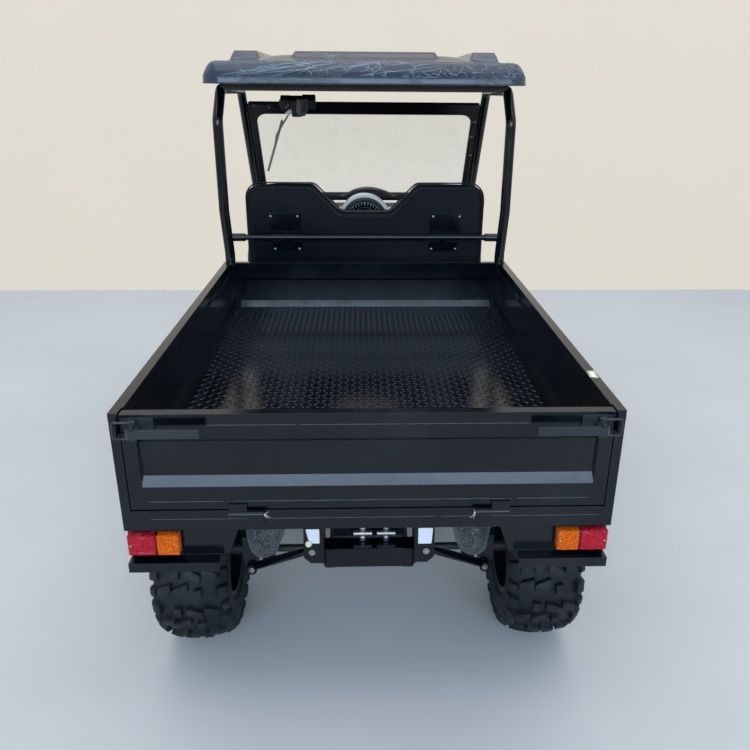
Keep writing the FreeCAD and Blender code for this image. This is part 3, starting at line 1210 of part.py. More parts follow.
# The windshield is drawn flat, x across and z up the slope, then leaned back
def lean(item):
    slope = float(size.pillarSlope)
    run = math.tan(math.radians(slope))
    item.Placement = FreeCAD.Placement(Vec(), FreeCAD.Rotation(Vec(1, 0, 0), slope))
    bind(item, "Placement.Base.y", cab(size.pillarTopAhead) + (size.roofRailHigh - size.screenFoot) * run)
    bind(item, "Placement.Base.z", size.screenFoot)
    return item


def makeWindshield():
    slope = math.radians(float(size.pillarSlope))
    tall = (size.screenTop - size.screenFoot) / math.cos(slope)
    half = size.roofRailX - size.tubeRadius - size.seatGap
    thick = size.screenThick / 2
    stile = half - size.screenGlassHalf
    frame = profile("ScreenFrame", "XZ", rectangle((-half, half), (0, tall)), (-thick, thick))
    low = size.screenRail
    high = tall - size.screenTopRail
    pocket(frame, "ScreenOpening", "XZ", rectangle((stile - half, half - stile), (low, high)),
           (-thick - 1, thick + 1))
    roundEdges(frame, "ScreenCorners", Vec(0, 1, 0), size.screenCorner,
               lambda c: abs(c.x) < float(half) - 1 and c.z > float(high) - 1)
    archY = -size.glassThick / 2 - size.archTube - 1
    arch = bentTube("ScreenArch", [
        (-size.archHalf, archY, low - 20), (-size.archHalf * 0.62, archY, low + size.archRise),
        (size.archHalf * 0.62, archY, low + size.archRise), (size.archHalf, archY, low - 20),
    ], size.archTube, size.archBend)
    node("windshield_frame", lean(fused("ScreenSet", frame, arch)))

    gap = size.seatGap
    glassHalf = half - stile - gap
    glass = profile("Glass", "XZ", rectangle((-glassHalf, glassHalf), (low + gap, high - gap)),
                    (-size.glassThick / 2, size.glassThick / 2))
    roundEdges(glass, "GlassCorners", Vec(0, 1, 0), size.screenCorner - gap, lambda c: c.z > float(high) - 2)
    node("windshield_glass", lean(glass))

    # Motor behind the top rail, arm and blade outside the glass
    front = thick + gap
    motorX = size.wiperX
    bracket = box("WiperBracket", (motorX - size.wiperPlateHalf, motorX + size.wiperPlateHalf),
                  (-thick - gap - size.wiperPlate, -thick - gap), (high + 10, tall + size.wiperPlateTall))
    motor = cylinder("WiperMotor", "X",
                     (motorX - size.wiperMotorLong / 2, -thick - size.wiperMotorBehind,
                      tall + size.wiperMotor),
                     size.wiperMotor, size.wiperMotorLong)
    gearbox = box("WiperGearbox", (motorX - size.wiperGearOut, motorX + size.wiperGearIn),
                  (-thick - size.wiperPlate - size.wiperGearDeep, -thick - gap - size.wiperPlate),
                  (high + 14, tall + size.wiperGearTall))
    pivotX = motorX - size.wiperPivotOut
    pivotUp = high + 26
    cap = cylinder("WiperCap", "Y", (pivotX, front, pivotUp), 13, 18)
    elbow = (pivotX - size.wiperElbowOut, front + 12, pivotUp - size.wiperElbowDown)
    arm = rod("WiperArm", (pivotX, front + 12, pivotUp), elbow, 5)
    bladeY = size.glassThick / 2 + 8
    bladeTop = (pivotX - size.bladeTopOut, bladeY, pivotUp - size.bladeTopDown)
    bladeFoot = (pivotX - size.bladeFootOut, bladeY, pivotUp - size.bladeFootDown)
    blade = rod("WiperBlade", bladeTop, bladeFoot, 7)
    link = rod("WiperLink", elbow, [(a + b) / 2 for a, b in zip(bladeTop, bladeFoot)], 5)
    node("wiper", lean(group("WiperSet", fused("WiperDrive", bracket, motor, gearbox),
                             fused("WiperOutside", cap, arm, link, blade))))


def makeRoof():
    foot = size.roofRailHigh + size.tubeRadius + size.seatGap
    start = cab(size.roofStart)
    end = start + size.roofLong
    half = size.roofWidth / 2

    def section(name, inset):
        low = foot - 1 if float(inset) else foot
        lip = foot + size.roofLip
        across = [
            (-half + inset, low), (half - inset, low), (half - inset, lip),
            (half - size.roofShoulderIn - inset, size.roofShoulder - inset),
            (size.roofCrownHalf, size.roofCrown - inset), (-size.roofCrownHalf, size.roofCrown - inset),
            (size.roofShoulderIn - half + inset, size.roofShoulder - inset), (-half + inset, lip),
        ]
        along = [
            (start + inset, low), (end - inset, low), (end - inset, lip),
            (end - size.roofShoulderIn - inset, size.roofShoulder - inset),
            (end - size.roofSlope, size.roofCrown - inset), (start + size.roofSlope, size.roofCrown - inset),
            (start + size.roofShoulderIn + inset, size.roofShoulder - inset), (start + inset, lip),
        ]
        return common(name, profile(name + "Across", "XZ", across, (start, end)),
                      profile(name + "Along", "YZ", along, (-half, half)))

    shell = cut("RoofShell", section("RoofOuter", 0), section("RoofInner", size.roofSkin))
    seatIn = size.roofRailX - size.tubeRadius
    flange = box("RoofFlange", (-half + 2, half - 2), (start + 2, end - 2), (foot, foot + size.roofSkin))
    opening = box("RoofOpening", (-seatIn, seatIn), (start + size.roofFlange, end - size.roofFlange),
                  (foot - 1, foot + size.roofSkin + 1))
    crown = size.roofCrown
    sideOut = size.roofSideRib + size.roofSideRibWide
    ribs = [
        # name, low x, high x, foot, start of the slopes
        ("RoofRibMiddle", -size.roofCrownHalf, size.roofCrownHalf, crown - 3, crown - 1),
        ("RoofRibRight", size.roofSideRib, sideOut, size.roofShoulder - 2, crown - 14),
        ("RoofRibLeft", -sideOut, -size.roofSideRib, size.roofShoulder - 2, crown - 14),
    ]
    slope = size.roofRib * 0.75
    top = crown + size.roofRib
    reach = size.roofSlope - size.roofRibPast
    pieces = [shell, cut("RoofRim", flange, opening)]
    for name, low, high, base, bend in ribs:
        pieces.append(profile(name, "XZ", [
            (low, base), (high, base), (high, bend), (high - slope, top), (low + slope, top), (low, bend),
        ], (start + reach, end - reach)))
    node("roof_shell", fused("Roof", *pieces))


def makeSeats():
    start = cab(size.seatBackAhead)
    half = size.seatWidth / 2
    back = profile("SeatBack", "XZ", [
        (-half, size.seatBackFoot), (half, size.seatBackFoot), (half, size.seatBackTop),
        (size.notchTopHalf, size.seatBackTop), (size.notchFootHalf, size.seatNotch),
        (-size.notchFootHalf, size.seatNotch), (-size.notchTopHalf, size.seatBackTop),
        (-half, size.seatBackTop),
    ], (start, start + size.seatBackThick))
    high = float(size.seatBackTop) - 1
    roundEdges(back, "SeatShoulders", Vec(0, 1, 0), size.seatShoulder,
               lambda c: c.z > high and abs(c.x) > float(half) - 1)
    roundEdges(back, "SeatHumps", Vec(0, 1, 0), size.seatCorner,
               lambda c: c.z > high and abs(abs(c.x) - float(size.notchTopHalf)) < 1)
    node("seat_back", back)

    cushionFoot = size.cushionTop - size.cushionThick
    cushionRear = start + size.cushionSetIn
    cushionFront = start + size.cushionLong
    cushion = profile("Cushion", "YZ", [
        (cushionRear, cushionFoot), (cushionFront, cushionFoot), (cushionFront + 14, cushionFoot + 30),
        (cushionFront + 14, size.cushionTop - 30), (cushionFront - 16, size.cushionTop),
        (cushionRear, size.cushionTop),
    ], (-half, half))
    node("seat_cushion", cushion)

    boxStart = postY + size.tubeRadius + 8
    boxEnd = boxStart + size.seatBoxLong
    boxHalf = size.seatBoxWidth / 2
    top = cushionFoot - size.seatGap
    shell = box("SeatBoxSolid", (-boxHalf, boxHalf), (boxStart, boxEnd), (size.floorTop, top))
    room = box("SeatBoxRoom", (-boxHalf + size.panelThick, boxHalf - size.panelThick),
               (boxStart + size.panelThick, boxEnd - size.panelThick),
               (size.floorTop - 1, top - size.panelThick))
    node("seat_base", cut("SeatBox", shell, room))

    barFront = postY + size.grabRadius
    plates = [
        # name, inner x, outer x, low, high
        ("UpperPlate", size.seatPlateIn, size.seatPlateIn + size.seatPlateWide, size.seatPlateHigh,
         size.seatPlateHigh + size.seatPlateTall),
        ("LowerPlate", size.seatPlateIn, size.seatPlateIn + size.seatPlateWide - 16, size.seatPlateLow,
         size.seatPlateLow + size.seatPlateTall / 2),
    ]
    seatRear = start - size.seatGap
    pieces = []
    for name, low, high, foot, up in plates:
        pieces.append(box(name, (low, high), (seatRear - size.seatPlate, seatRear), (foot, up)))
    strapIn = size.seatPlateIn + 55
    strapX = (strapIn, strapIn + 30)
    strapRear = seatRear - size.seatPlate * 2
    pieces.append(box("SeatStrap", strapX, (strapRear, seatRear - size.seatPlate),
                      (size.seatPlateLow, size.seatPlateHigh + size.seatPlateTall)))
    pieces.append(box("SeatTab", strapX, (barFront + size.seatGap, strapRear),
                      (size.grabHigh - 8, size.grabHigh + 8)))
    node("seat_brackets", both("SeatBrackets", fused("SeatBracket", *pieces)))


def makeFloor():
    sideHalf = size.postFootX - size.tubeRadius - 2
    floorStart = cab(size.kickEnd) + size.railTall / 3
    wideEnd = cab(size.floorEnd)
    footwell = size.footwellHalf
    end = cab(size.footwellEnd)
    low = size.floorTop - size.floorThick
    level = (low, size.floorTop)
    plates = [
        box("FloorWide", (-sideHalf, sideHalf), (floorStart, wideEnd - size.tubeRadius * 2 - 4), level),
        box("FloorStep", (-sideHalf + 6, sideHalf - 6), (floorStart, wideEnd - 4), level),
        box("FloorNarrow", (-footwell, footwell), (floorStart, end), level),
        profile("ToeBoard", "YZ", [
            (end - size.toeRun - size.panelThick, size.floorTop), (end - size.toeRun, size.floorTop),
            (end, size.floorTop + size.toeRise), (end, size.dashFoot),
            (end - size.panelThick, size.dashFoot),
            (end - size.panelThick, size.floorTop + size.toeRise + 4),
        ], (-footwell, footwell)),
    ]
    wall = profile("FootwellWall", "YZ", rectangle((wideEnd - 4, end), (low, size.dashFoot)),
                   (footwell - size.panelThick, footwell))
    plates += [wall, mirrored(wall)]
    node("cab_floor", fused("CabFloor", *plates))

    pedals = []
    for name, x in (("BrakePedal", size.driverX + 40), ("DrivePedal", size.driverX + 150)):
        pad = profile(name + "Pad", "YZ", [
            (end - 175, size.floorTop + 95), (end - 168, size.floorTop + 90),
            (end - 138, size.floorTop + 165), (end - 145, size.floorTop + 170),
        ], (x - 30, x + 30))
        arm = profile(name + "Arm", "YZ", [
            (end - 158, size.floorTop + 128), (end - 152, size.floorTop + 126),
            (end - size.panelThick, size.floorTop + size.pedalPivot - 16),
            (end - size.panelThick, size.floorTop + size.pedalPivot),
        ], (x - 6, x + 6))
        pedals.append(fused(name, pad, arm))
    node("pedals", group("Pedals", *pedals))


# The dashboard's space with its seat gap, cut from what rests on it
def dashRoom(name, half):
    start = cab(size.dashStart)
    end = cab(size.dashEnd)
    gap = size.seatGap
    return profile(name, "YZ", [
        (start + 20 - gap, size.dashFoot - 200), (end + 5, size.dashFoot - 200), (end + 5, size.dashTop - 4),
        (start + 60, size.dashTop + gap), (start + 18 - gap, size.dashTop - 12 + gap),
        (start - gap, size.dashTop - 60),
    ], (-half, half))


def makeDashboard():
    start = cab(size.dashStart)
    end = cab(size.dashEnd)
    half = sillIn - size.panelThick - size.seatGap
    dash = profile("Dash", "YZ", [
        (start + 10, size.dashFoot), (end, size.dashFoot), (end, size.dashTop - 4),
        (start + 60, size.dashTop), (start + 18, size.dashTop - 12), (start, size.dashTop - 60),
    ], (-half, half))
    skin = size.panelThick
    room = profile("DashRoom", "YZ", [
        (start + 10 + skin, size.dashFoot - 1), (end + 1, size.dashFoot - 1),
        (end + 1, size.dashTop - 4 - skin), (start + 60, size.dashTop - skin),
        (start + 18 + skin, size.dashTop - 12 - skin),
        (start + skin, size.dashTop - 60),
    ], (skin - half, half - skin))
    node("dashboard", cut("Dashboard", dash, room))

    podY = cab(size.podAhead)
    ring = cylinder("PodOuter", "Y", (0, podY, size.podHigh), size.podRadius, start - podY + 70)
    face = cylinder("PodRoom", "Y", (0, podY - 1, size.podHigh), size.podRadius - size.podRim, 46)
    below = box("PodBelow", (-size.podRadius - 1, size.podRadius + 1), (podY - 1, start + 80),
                (size.podHigh - size.podRadius - 1, size.podHigh - 40))
    pod = cut("PodShell", cut("PodRing", cut("PodHalf", ring, below), face), dashRoom("PodDashRoom", half))
    node("instrument_pod", pod)


def makeSteering():
    tilt = math.radians(float(size.columnTilt))
    axis = Vec(0, math.cos(tilt), -math.sin(tilt))
    hub = Vec(float(size.driverX), float(cab(size.wheelHubAhead)), float(size.wheelHubHigh))
    rim = doc.addObject("Part::Torus", "SteerRim")
    bind(rim, "Radius1", size.steerRadius)
    bind(rim, "Radius2", size.steerGrip)
    boss = doc.addObject("Part::Cylinder", "SteerBoss")
    bind(boss, "Radius", size.steerBoss)
    bind(boss, "Height", size.steerBossLong)
    spokes = []
    for i in range(3):
        spoke = box("SteerSpoke%d" % i, (0, size.steerRadius), (-size.spokeWide / 2, size.spokeWide / 2),
                    (0, size.steerGrip - 3))
        spoke.Placement = FreeCAD.Placement(Vec(), FreeCAD.Rotation(Vec(0, 0, 1), 90 + 120 * i))
        for place in "xyz":
            spoke.setExpression("Placement.Base." + place, None)
        spokes.append(spoke)
    wheel = fused("SteeringWheelSet", rim, boss, *spokes)
    wheel.Placement = FreeCAD.Placement(hub, FreeCAD.Rotation(Vec(0, 0, 1), axis))
    node("steering_wheel", wheel)

    start = hub + axis * (float(size.steerBossLong) + float(size.seatGap))
    end = start + axis * float(size.columnLong)
    column = rod("ColumnRod", start, end, size.columnRadius)
    node("steering_column", cut("SteeringColumn", column, dashRoom("ColumnRoom", size.postX)))


def makeBodywork():
    wheelY = frontAxleY
    inner = size.archRadius
    outer = size.archRadius + size.archThick
    archIn = size.footwellHalf + size.seatGap
    span = size.archOut - archIn
    ring = cut("ArchRing",
               cylinder("ArchOuter", "X", (archIn, wheelY, axleHigh), outer, span),
               cylinder("ArchInner", "X", (archIn - 1, wheelY, axleHigh), inner, span + 2))
    below = box("ArchBelow", (archIn - 1, size.archOut + 1), (wheelY - outer - 1, wheelY + outer + 1),
                (axleHigh - outer - 1, axleHigh + size.archEnd))
    arch = cut("ArchHalf", ring, below)
    node("front_fenders", both("FrontFenders", arch))

    def archRoom(name, low, high):
        return cylinder(name, "X", (low, wheelY, axleHigh), outer + size.seatGap, high - low)

    panelOut = sillIn
    panel = box("CowlPlate", (panelOut - size.panelThick, panelOut),
                (cab(size.floorEnd) + 10, cab(size.cowlEnd)), (size.axleCowl, size.cowlHigh - 30))
    side = cut("CowlPanel", panel, archRoom("CowlArchRoom", panelOut - 40, panelOut + 40))
    node("cowl_panels", both("CowlPanels", side))

    noseY = cab(size.hoodEnd)
    rearY = cab(size.hoodStart)
    half = size.hoodHalf
    skin = size.panelSkin

    def bodyOutline(inset):
        back = 1 if float(inset) else 0
        return [
            (rearY - back, size.fasciaFoot - back), (noseY - 30 - inset, size.fasciaFoot - back),
            (noseY - inset, size.fasciaFoot + 70), (noseY - inset, size.hoodNoseHigh - 60),
            (noseY - 34 - inset * 0.8, size.hoodNoseHigh - inset), (rearY + 40, size.hoodRearHigh - inset),
            (rearY - back, size.hoodRearHigh - inset),
        ]

    solid = profile("BodyOuter", "YZ", bodyOutline(0), (-half, half))
    room = profile("BodyRoom", "YZ", bodyOutline(skin), (skin - half, half - skin))
    shell = cut("BodyShell", cut("BodyOpen", solid, room), archRoom("HoodArchRoom", -half - 1, half + 1))
    split = size.hoodSplit
    reach = (rearY - 10, noseY + 10)
    seam = size.seatGap / 2
    hoodZone = box("HoodZone", (-half - 1, half + 1), reach, (split + seam, size.hoodRearHigh + 10))
    fasciaZone = box("FasciaZone", (-half - 1, half + 1), reach, (size.fasciaFoot - 10, split - seam))
    node("hood", common("Hood", shell, hoodZone))
    node("front_fascia", common("Fascia", shell, fasciaZone))

    lamp = cylinder("Headlight", "Y", (size.lampX, noseY + size.seatGap, size.headlampHigh),
                    size.lampRadius, size.lampDeep)
    node("headlights", both("Headlights", lamp))
    plate = box("GrillePlate", (-size.grilleHalf, size.grilleHalf), (noseY + size.seatGap, noseY + 12),
                (size.grilleFoot, size.grilleFoot + size.grilleTall))
    slots = []
    pitch = size.grilleTall / 6
    for i in range(5):
        low = size.grilleFoot + pitch * (i + 0.7)
        slots.append(box("GrilleSlot%d" % i, (24 - size.grilleHalf, size.grilleHalf - 24),
                         (noseY - 1, noseY + 13), (low, low + pitch * 0.6)))
    node("grille", cut("Grille", plate, fused("GrilleSlots", *slots)))

    barY = noseY + size.bumperReach - size.bumperTube
    foot = (size.railX + size.railWidth / 2, cab(size.railEnd) + size.seatGap,
            size.cabRailFoot + size.railTall / 2)
    right = [
        foot, (foot[0], barY, foot[2]), (size.bumperHalf, barY, size.bumperFoot),
        (size.bumperHalf, barY, size.bumperTop),
    ]
    hoop = bentTube("BumperHoop", [(x, y, z) for x, y, z in right]
                    + [(-x, y, z) for x, y, z in reversed(right)], size.bumperTube, size.bumperBend)
    bar = cylinder("BumperBar", "X", (-size.bumperHalf, barY, size.bumperFoot + 60), size.bumperTube - 3,
                   size.bumperHalf * 2)
    node("front_bumper", fused("Bumper", hoop, bar))


makeBed()
makeTailgate()
makeMudguards()
makeChassis()
makeDrive()
makeRearSuspension()
makeWheels()
makeFrontSuspension()
makeCabFrame()
makeWindshield()
makeRoof()
makeSeats()
makeFloor()
makeDashboard()
makeSteering()
makeBodywork()
doc.recompute()

# Every object is sound and every sub-part is a valid solid before anything is written
for item in doc.Objects:
    if "Invalid" in item.State or "Error" in item.State:
        raise RuntimeError("%s failed: %s" % (item.Name, item.State))
for label, item in parts.items():
    shape = item.Shape
    if shape.isNull() or not shape.isValid() or not shape.Solids:
        raise RuntimeError("%s has no valid solid" % label)

os.makedirs("parts", exist_ok=True)
for label, item in parts.items():
    item.Shape.exportStep("parts/%s.step" % label)
    print(label, len(item.Shape.Solids), "solids", round(item.Shape.Volume / 1e6, 3), "litres")
print(len(parts), "sub-parts")
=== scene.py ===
import json
import math
import random

import bmesh
import bpy
from mathutils import Matrix, Vector


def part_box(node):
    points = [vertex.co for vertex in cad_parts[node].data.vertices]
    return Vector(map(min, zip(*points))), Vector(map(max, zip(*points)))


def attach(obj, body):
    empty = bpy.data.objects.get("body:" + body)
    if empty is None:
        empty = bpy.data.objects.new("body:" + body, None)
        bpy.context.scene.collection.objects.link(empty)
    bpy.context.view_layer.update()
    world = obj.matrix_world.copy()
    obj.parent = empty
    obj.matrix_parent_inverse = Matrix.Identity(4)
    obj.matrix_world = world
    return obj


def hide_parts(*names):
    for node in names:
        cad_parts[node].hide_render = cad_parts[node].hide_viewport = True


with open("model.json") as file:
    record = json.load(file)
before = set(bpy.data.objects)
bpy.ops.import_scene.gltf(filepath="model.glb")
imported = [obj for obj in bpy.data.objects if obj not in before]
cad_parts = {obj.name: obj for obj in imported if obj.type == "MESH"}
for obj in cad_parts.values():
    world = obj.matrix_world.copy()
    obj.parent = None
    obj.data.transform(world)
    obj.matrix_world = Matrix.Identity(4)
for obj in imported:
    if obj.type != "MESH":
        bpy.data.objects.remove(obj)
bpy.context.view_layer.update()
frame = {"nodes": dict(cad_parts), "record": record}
nodes = frame["nodes"]
scene = bpy.context.scene


# Node trees
class Field:  # a socket that takes part in sums
    def __init__(self, graph, socket):
        self.graph = graph
        self.socket = socket

    def sum(self, operation, *values):
        return self.graph.add("ShaderNodeMath", {"operation": operation}, values)

    def __add__(self, other):
        return self.sum("ADD", self, other)

    __radd__ = __add__

    def __sub__(self, other):
        return self.sum("SUBTRACT", self, other)

    def __rsub__(self, other):
        return self.sum("SUBTRACT", other, self)

    def __mul__(self, other):
        return self.sum("MULTIPLY", self, other)

    __rmul__ = __mul__

    def __truediv__(self, other):
        return self.sum("DIVIDE", self, other)

    def __mod__(self, other):
        return self.sum("MODULO", self, other)

    def __gt__(self, other):
        return self.sum("GREATER_THAN", self, other)

    def __lt__(self, other):
        return self.sum("LESS_THAN", self, other)

    def __abs__(self):
        return self.sum("ABSOLUTE", self)

    def power(self, other):
        return self.sum("POWER", self, other)

    def ramp(self, low, high, start=0.0, end=1.0):
        settings = {"interpolation_type": "SMOOTHSTEP"}
        return self.graph.add("ShaderNodeMapRange", settings, [self, low, high, start, end])


class Graph:  # adds nodes to a tree
    def __init__(self, tree):
        self.tree = tree

    def add(self, kind, settings=None, inputs=(), pick=0):
        node = self.tree.nodes.new(kind)
        for name, value in (settings or {}).items():
            setattr(node, name, value)
        pairs = inputs.items() if isinstance(inputs, dict) else enumerate(inputs)
        for key, value in pairs:
            if isinstance(value, Field):
                self.tree.links.new(value.socket, node.inputs[key])
            else:
                node.inputs[key].default_value = value
        return Field(self, node.outputs[pick]) if len(node.outputs) else None


class Finish(Graph):  # one material
    def __init__(self, name):
        self.material = bpy.data.materials.new(name)
        self.material.use_nodes = True
        super().__init__(self.material.node_tree)
        self.tree.nodes.clear()
        self.place = self.add("ShaderNodeTexCoord", pick=3)

    def axes(self):
        node = self.add("ShaderNodeSeparateXYZ", {}, [self.place]).socket.node
        return [Field(self, out) for out in node.outputs]

    def stretched(self, scale, turn=(0, 0, 0)):
        return self.add("ShaderNodeMapping", {}, {"Vector": self.place, "Scale": scale, "Rotation": turn})

    def noise(self, scale, detail=2.0, rough=0.5, place=None, twist=0.0):
        values = {"Vector": place or self.place, "Scale": scale, "Detail": detail, "Roughness": rough,
                  "Distortion": twist}
        return self.add("ShaderNodeTexNoise", {}, values)

    def cells(self, scale, feature="F1", place=None):
        values = {"Vector": place or self.place, "Scale": scale}
        return self.add("ShaderNodeTexVoronoi", {"feature": feature}, values)

    def mix(self, share, first, second):
        return self.add("ShaderNodeMix", {"data_type": "RGBA"}, {0: share, 6: first, 7: second}, pick=2)

    def done(self, color, roughness, metallic=0.0, height=None, depth=0.001, edge=0.0, alpha=1.0, **plain):
        normal = None
        if edge:
            normal = self.add("ShaderNodeBevel", {"samples": 4}, {"Radius": edge})
        if height is not None:
            values = {"Strength": 1.0, "Distance": depth, "Height": height}
            if normal:
                values["Normal"] = normal
            normal = self.add("ShaderNodeBump", {}, values)
        values = {"Base Color": color, "Roughness": roughness, "Metallic": metallic, "Alpha": alpha}
        if normal:
            values["Normal"] = normal
        values.update({key.replace("_", " "): value for key, value in plain.items()})
        shader = self.add("ShaderNodeBsdfPrincipled", {}, values)
        self.add("ShaderNodeOutputMaterial", {}, [shader])
        return self.material


def shade(red, green, blue):
    return (red, green, blue, 1.0)


def scaled(color, by, plus=0.0):
    return tuple(channel * by + plus for channel in color[:3]) + (1.0,)


# Finishes
def glossPaint(name, base, dust, rough, edge=0.0018, haze=0.05):
    f = Finish(name)
    peel = f.noise(420, 2)
    sag = f.noise(7, 2)
    cloud = f.noise(3.4, 5, 0.6).ramp(0.42, 0.75)
    speck = f.cells(150) < 0.040
    color = f.mix(cloud * haze + speck * 0.14, base, dust)
    roughness = rough + cloud * 0.10 + peel * 0.03
    return f.done(color, roughness, height=peel * 0.10 + sag * 0.9, depth=0.0009, edge=edge, Specular_IOR_Level=0.36)


def satinMetal(name, base, rough, metallic, grain=260, edge=0.001):
    f = Finish(name)
    cast = f.noise(grain, 3)
    stain = f.noise(9, 4, 0.6).ramp(0.35, 0.7)
    color = f.mix(stain * 0.6, base, scaled(base, 0.55))
    return f.done(color, rough + cast * 0.15, metallic, cast, 0.0003, edge)


def grainedPlastic(name, base, rough, pitch=900, depth=0.00035, edge=0.0015):
    f = Finish(name)
    grain = f.cells(pitch)
    wear = f.noise(5, 4, 0.6).ramp(0.4, 0.75)
    color = f.mix(wear * 0.35, base, scaled(base, 1.6, 0.003))
    return f.done(color, rough + wear * 0.08, height=grain, depth=depth, edge=edge)


def smoothPlastic(name, base, rough, edge=0.002, coat=0.3):
    f = Finish(name)
    cloud = f.noise(6, 4, 0.6)
    dirt = f.noise(40, 3).ramp(0.55, 0.8)
    color = f.mix(cloud.ramp(0.4, 0.8) * 0.25 + dirt * 0.12, base, scaled(base, 0.86))
    return f.done(color, rough + dirt * 0.12, height=cloud, depth=0.0012, edge=edge, Coat_Weight=coat,
                  Coat_Roughness=0.1)


def vinylFinish(name, base, rough):
    f = Finish(name)
    grain = f.cells(520, place=f.stretched((1.0, 1.0, 0.75))).power(0.7)
    crease = f.noise(16, 4, 0.55, twist=0.4)
    wear = f.noise(4.5, 4, 0.6).ramp(0.42, 0.72)
    color = f.mix(wear * 0.4, base, scaled(base, 1.8, 0.001))
    height = grain * 0.35 + crease * 0.65
    return f.done(color, rough + wear * 0.08 + grain * 0.05, height=height, depth=0.0007, Specular_IOR_Level=0.14)


def tyreRubber(name):
    f = Finish(name)
    fine = f.noise(600, 3, 0.6)
    dust = f.noise(14, 5, 0.65).ramp(0.38, 0.78)
    color = f.mix(dust * 0.6, shade(0.0050, 0.0072, 0.0105), shade(0.026, 0.033, 0.043))
    return f.done(color, 0.50 + fine * 0.2, height=fine, depth=0.0006, Specular_IOR_Level=0.3)


def lensFinish(name, base, bright, pitch):
    f = Finish(name)
    prism = f.cells(pitch, "DISTANCE_TO_EDGE")
    streak = f.noise(52, 3, 0.6, f.stretched((0.4, 1.0, 2.2), (0, 0.5, 0))).ramp(0.56, 0.74)
    glow = f.cells(pitch * 0.6).ramp(0.1, 0.6)
    color = f.mix(glow * 0.8, bright, base)
    color = f.mix(streak * 0.16, color, shade(0.86, 0.62, 0.55))
    return f.done(color, 0.16 + streak * 0.2, height=prism, depth=0.004, Specular_IOR_Level=0.25)


def filmedRoof(name):
    f = Finish(name)
    warp = f.noise(5.5, 4, 0.55, twist=1.2)
    fine = f.noise(46, 5, 0.7, f.stretched((0.5, 1.2, 1.6), (0.3, 0.2, 0.5)), 1.6)
    # thin lines along the film's wrinkles, where the colour below paints highlights
    wrinkleGlint = (1 - abs(fine - 0.5).ramp(0.0, 0.035)) * f.noise(3.4, 2).ramp(0.50, 0.66)
    cloud = f.noise(2.2, 3).ramp(0.3, 0.7)
    base = f.mix(cloud, shade(0.006, 0.015, 0.031), shade(0.013, 0.026, 0.048))
    # painted highlight: the wrinkle lines are mixed towards pale blue-white
    color = f.mix(wrinkleGlint * 0.45 + warp * 0.04, base, shade(0.42, 0.49, 0.58))
    height = wrinkleGlint * 0.5 + f.noise(26, 3, 0.5, twist=0.8) * 0.5
    return f.done(color, 0.17 + wrinkleGlint * 0.25, height=height, depth=0.0022, Coat_Weight=0.10, Coat_Roughness=0.06,
                  Specular_IOR_Level=0.34)


def wrapFinish(name):
    f = Finish(name)
    speck = f.noise(210, 3, 0.8)
    patch = f.noise(22, 3)
    light = speck.ramp(0.50, 0.62) * 0.85 + patch.ramp(0.4, 0.7) * 0.15
    color = f.mix(light.power(1.5), shade(0.005, 0.006, 0.008), shade(0.30, 0.31, 0.33))
    return f.done(color, 0.55 + speck * 0.2, height=speck, depth=0.0016, Sheen_Weight=0.3)


def clearGlass(name, tint, alpha):
    f = Finish(name)
    smear = f.noise(9, 4, 0.6).ramp(0.45, 0.8)
    return f.done(tint, 0.03 + smear * 0.08, alpha=alpha + smear * 0.05, Coat_Weight=0.4)


def dialFinish(name, centre, radius):
    f = Finish(name)
    x, y, z = f.axes()
    across = x - centre[0]
    up = z - centre[2]
    reach = (across * across + up * up).power(0.5) / radius
    around = f.add("ShaderNodeMath", {"operation": "ARCTAN2"}, [across, up]) * (36 / (2 * math.pi))
    tick = (abs(around % 1) < 0.16) * (reach > 0.80) * (reach < 0.93)
    ringLine = (reach > 0.945) * (reach < 0.965)
    color = f.mix(tick + ringLine, shade(0.006, 0.007, 0.009), shade(0.55, 0.58, 0.6))
    return f.done(color, 0.12 + f.noise(30, 2) * 0.05, Coat_Weight=0.8, Coat_Roughness=0.03)


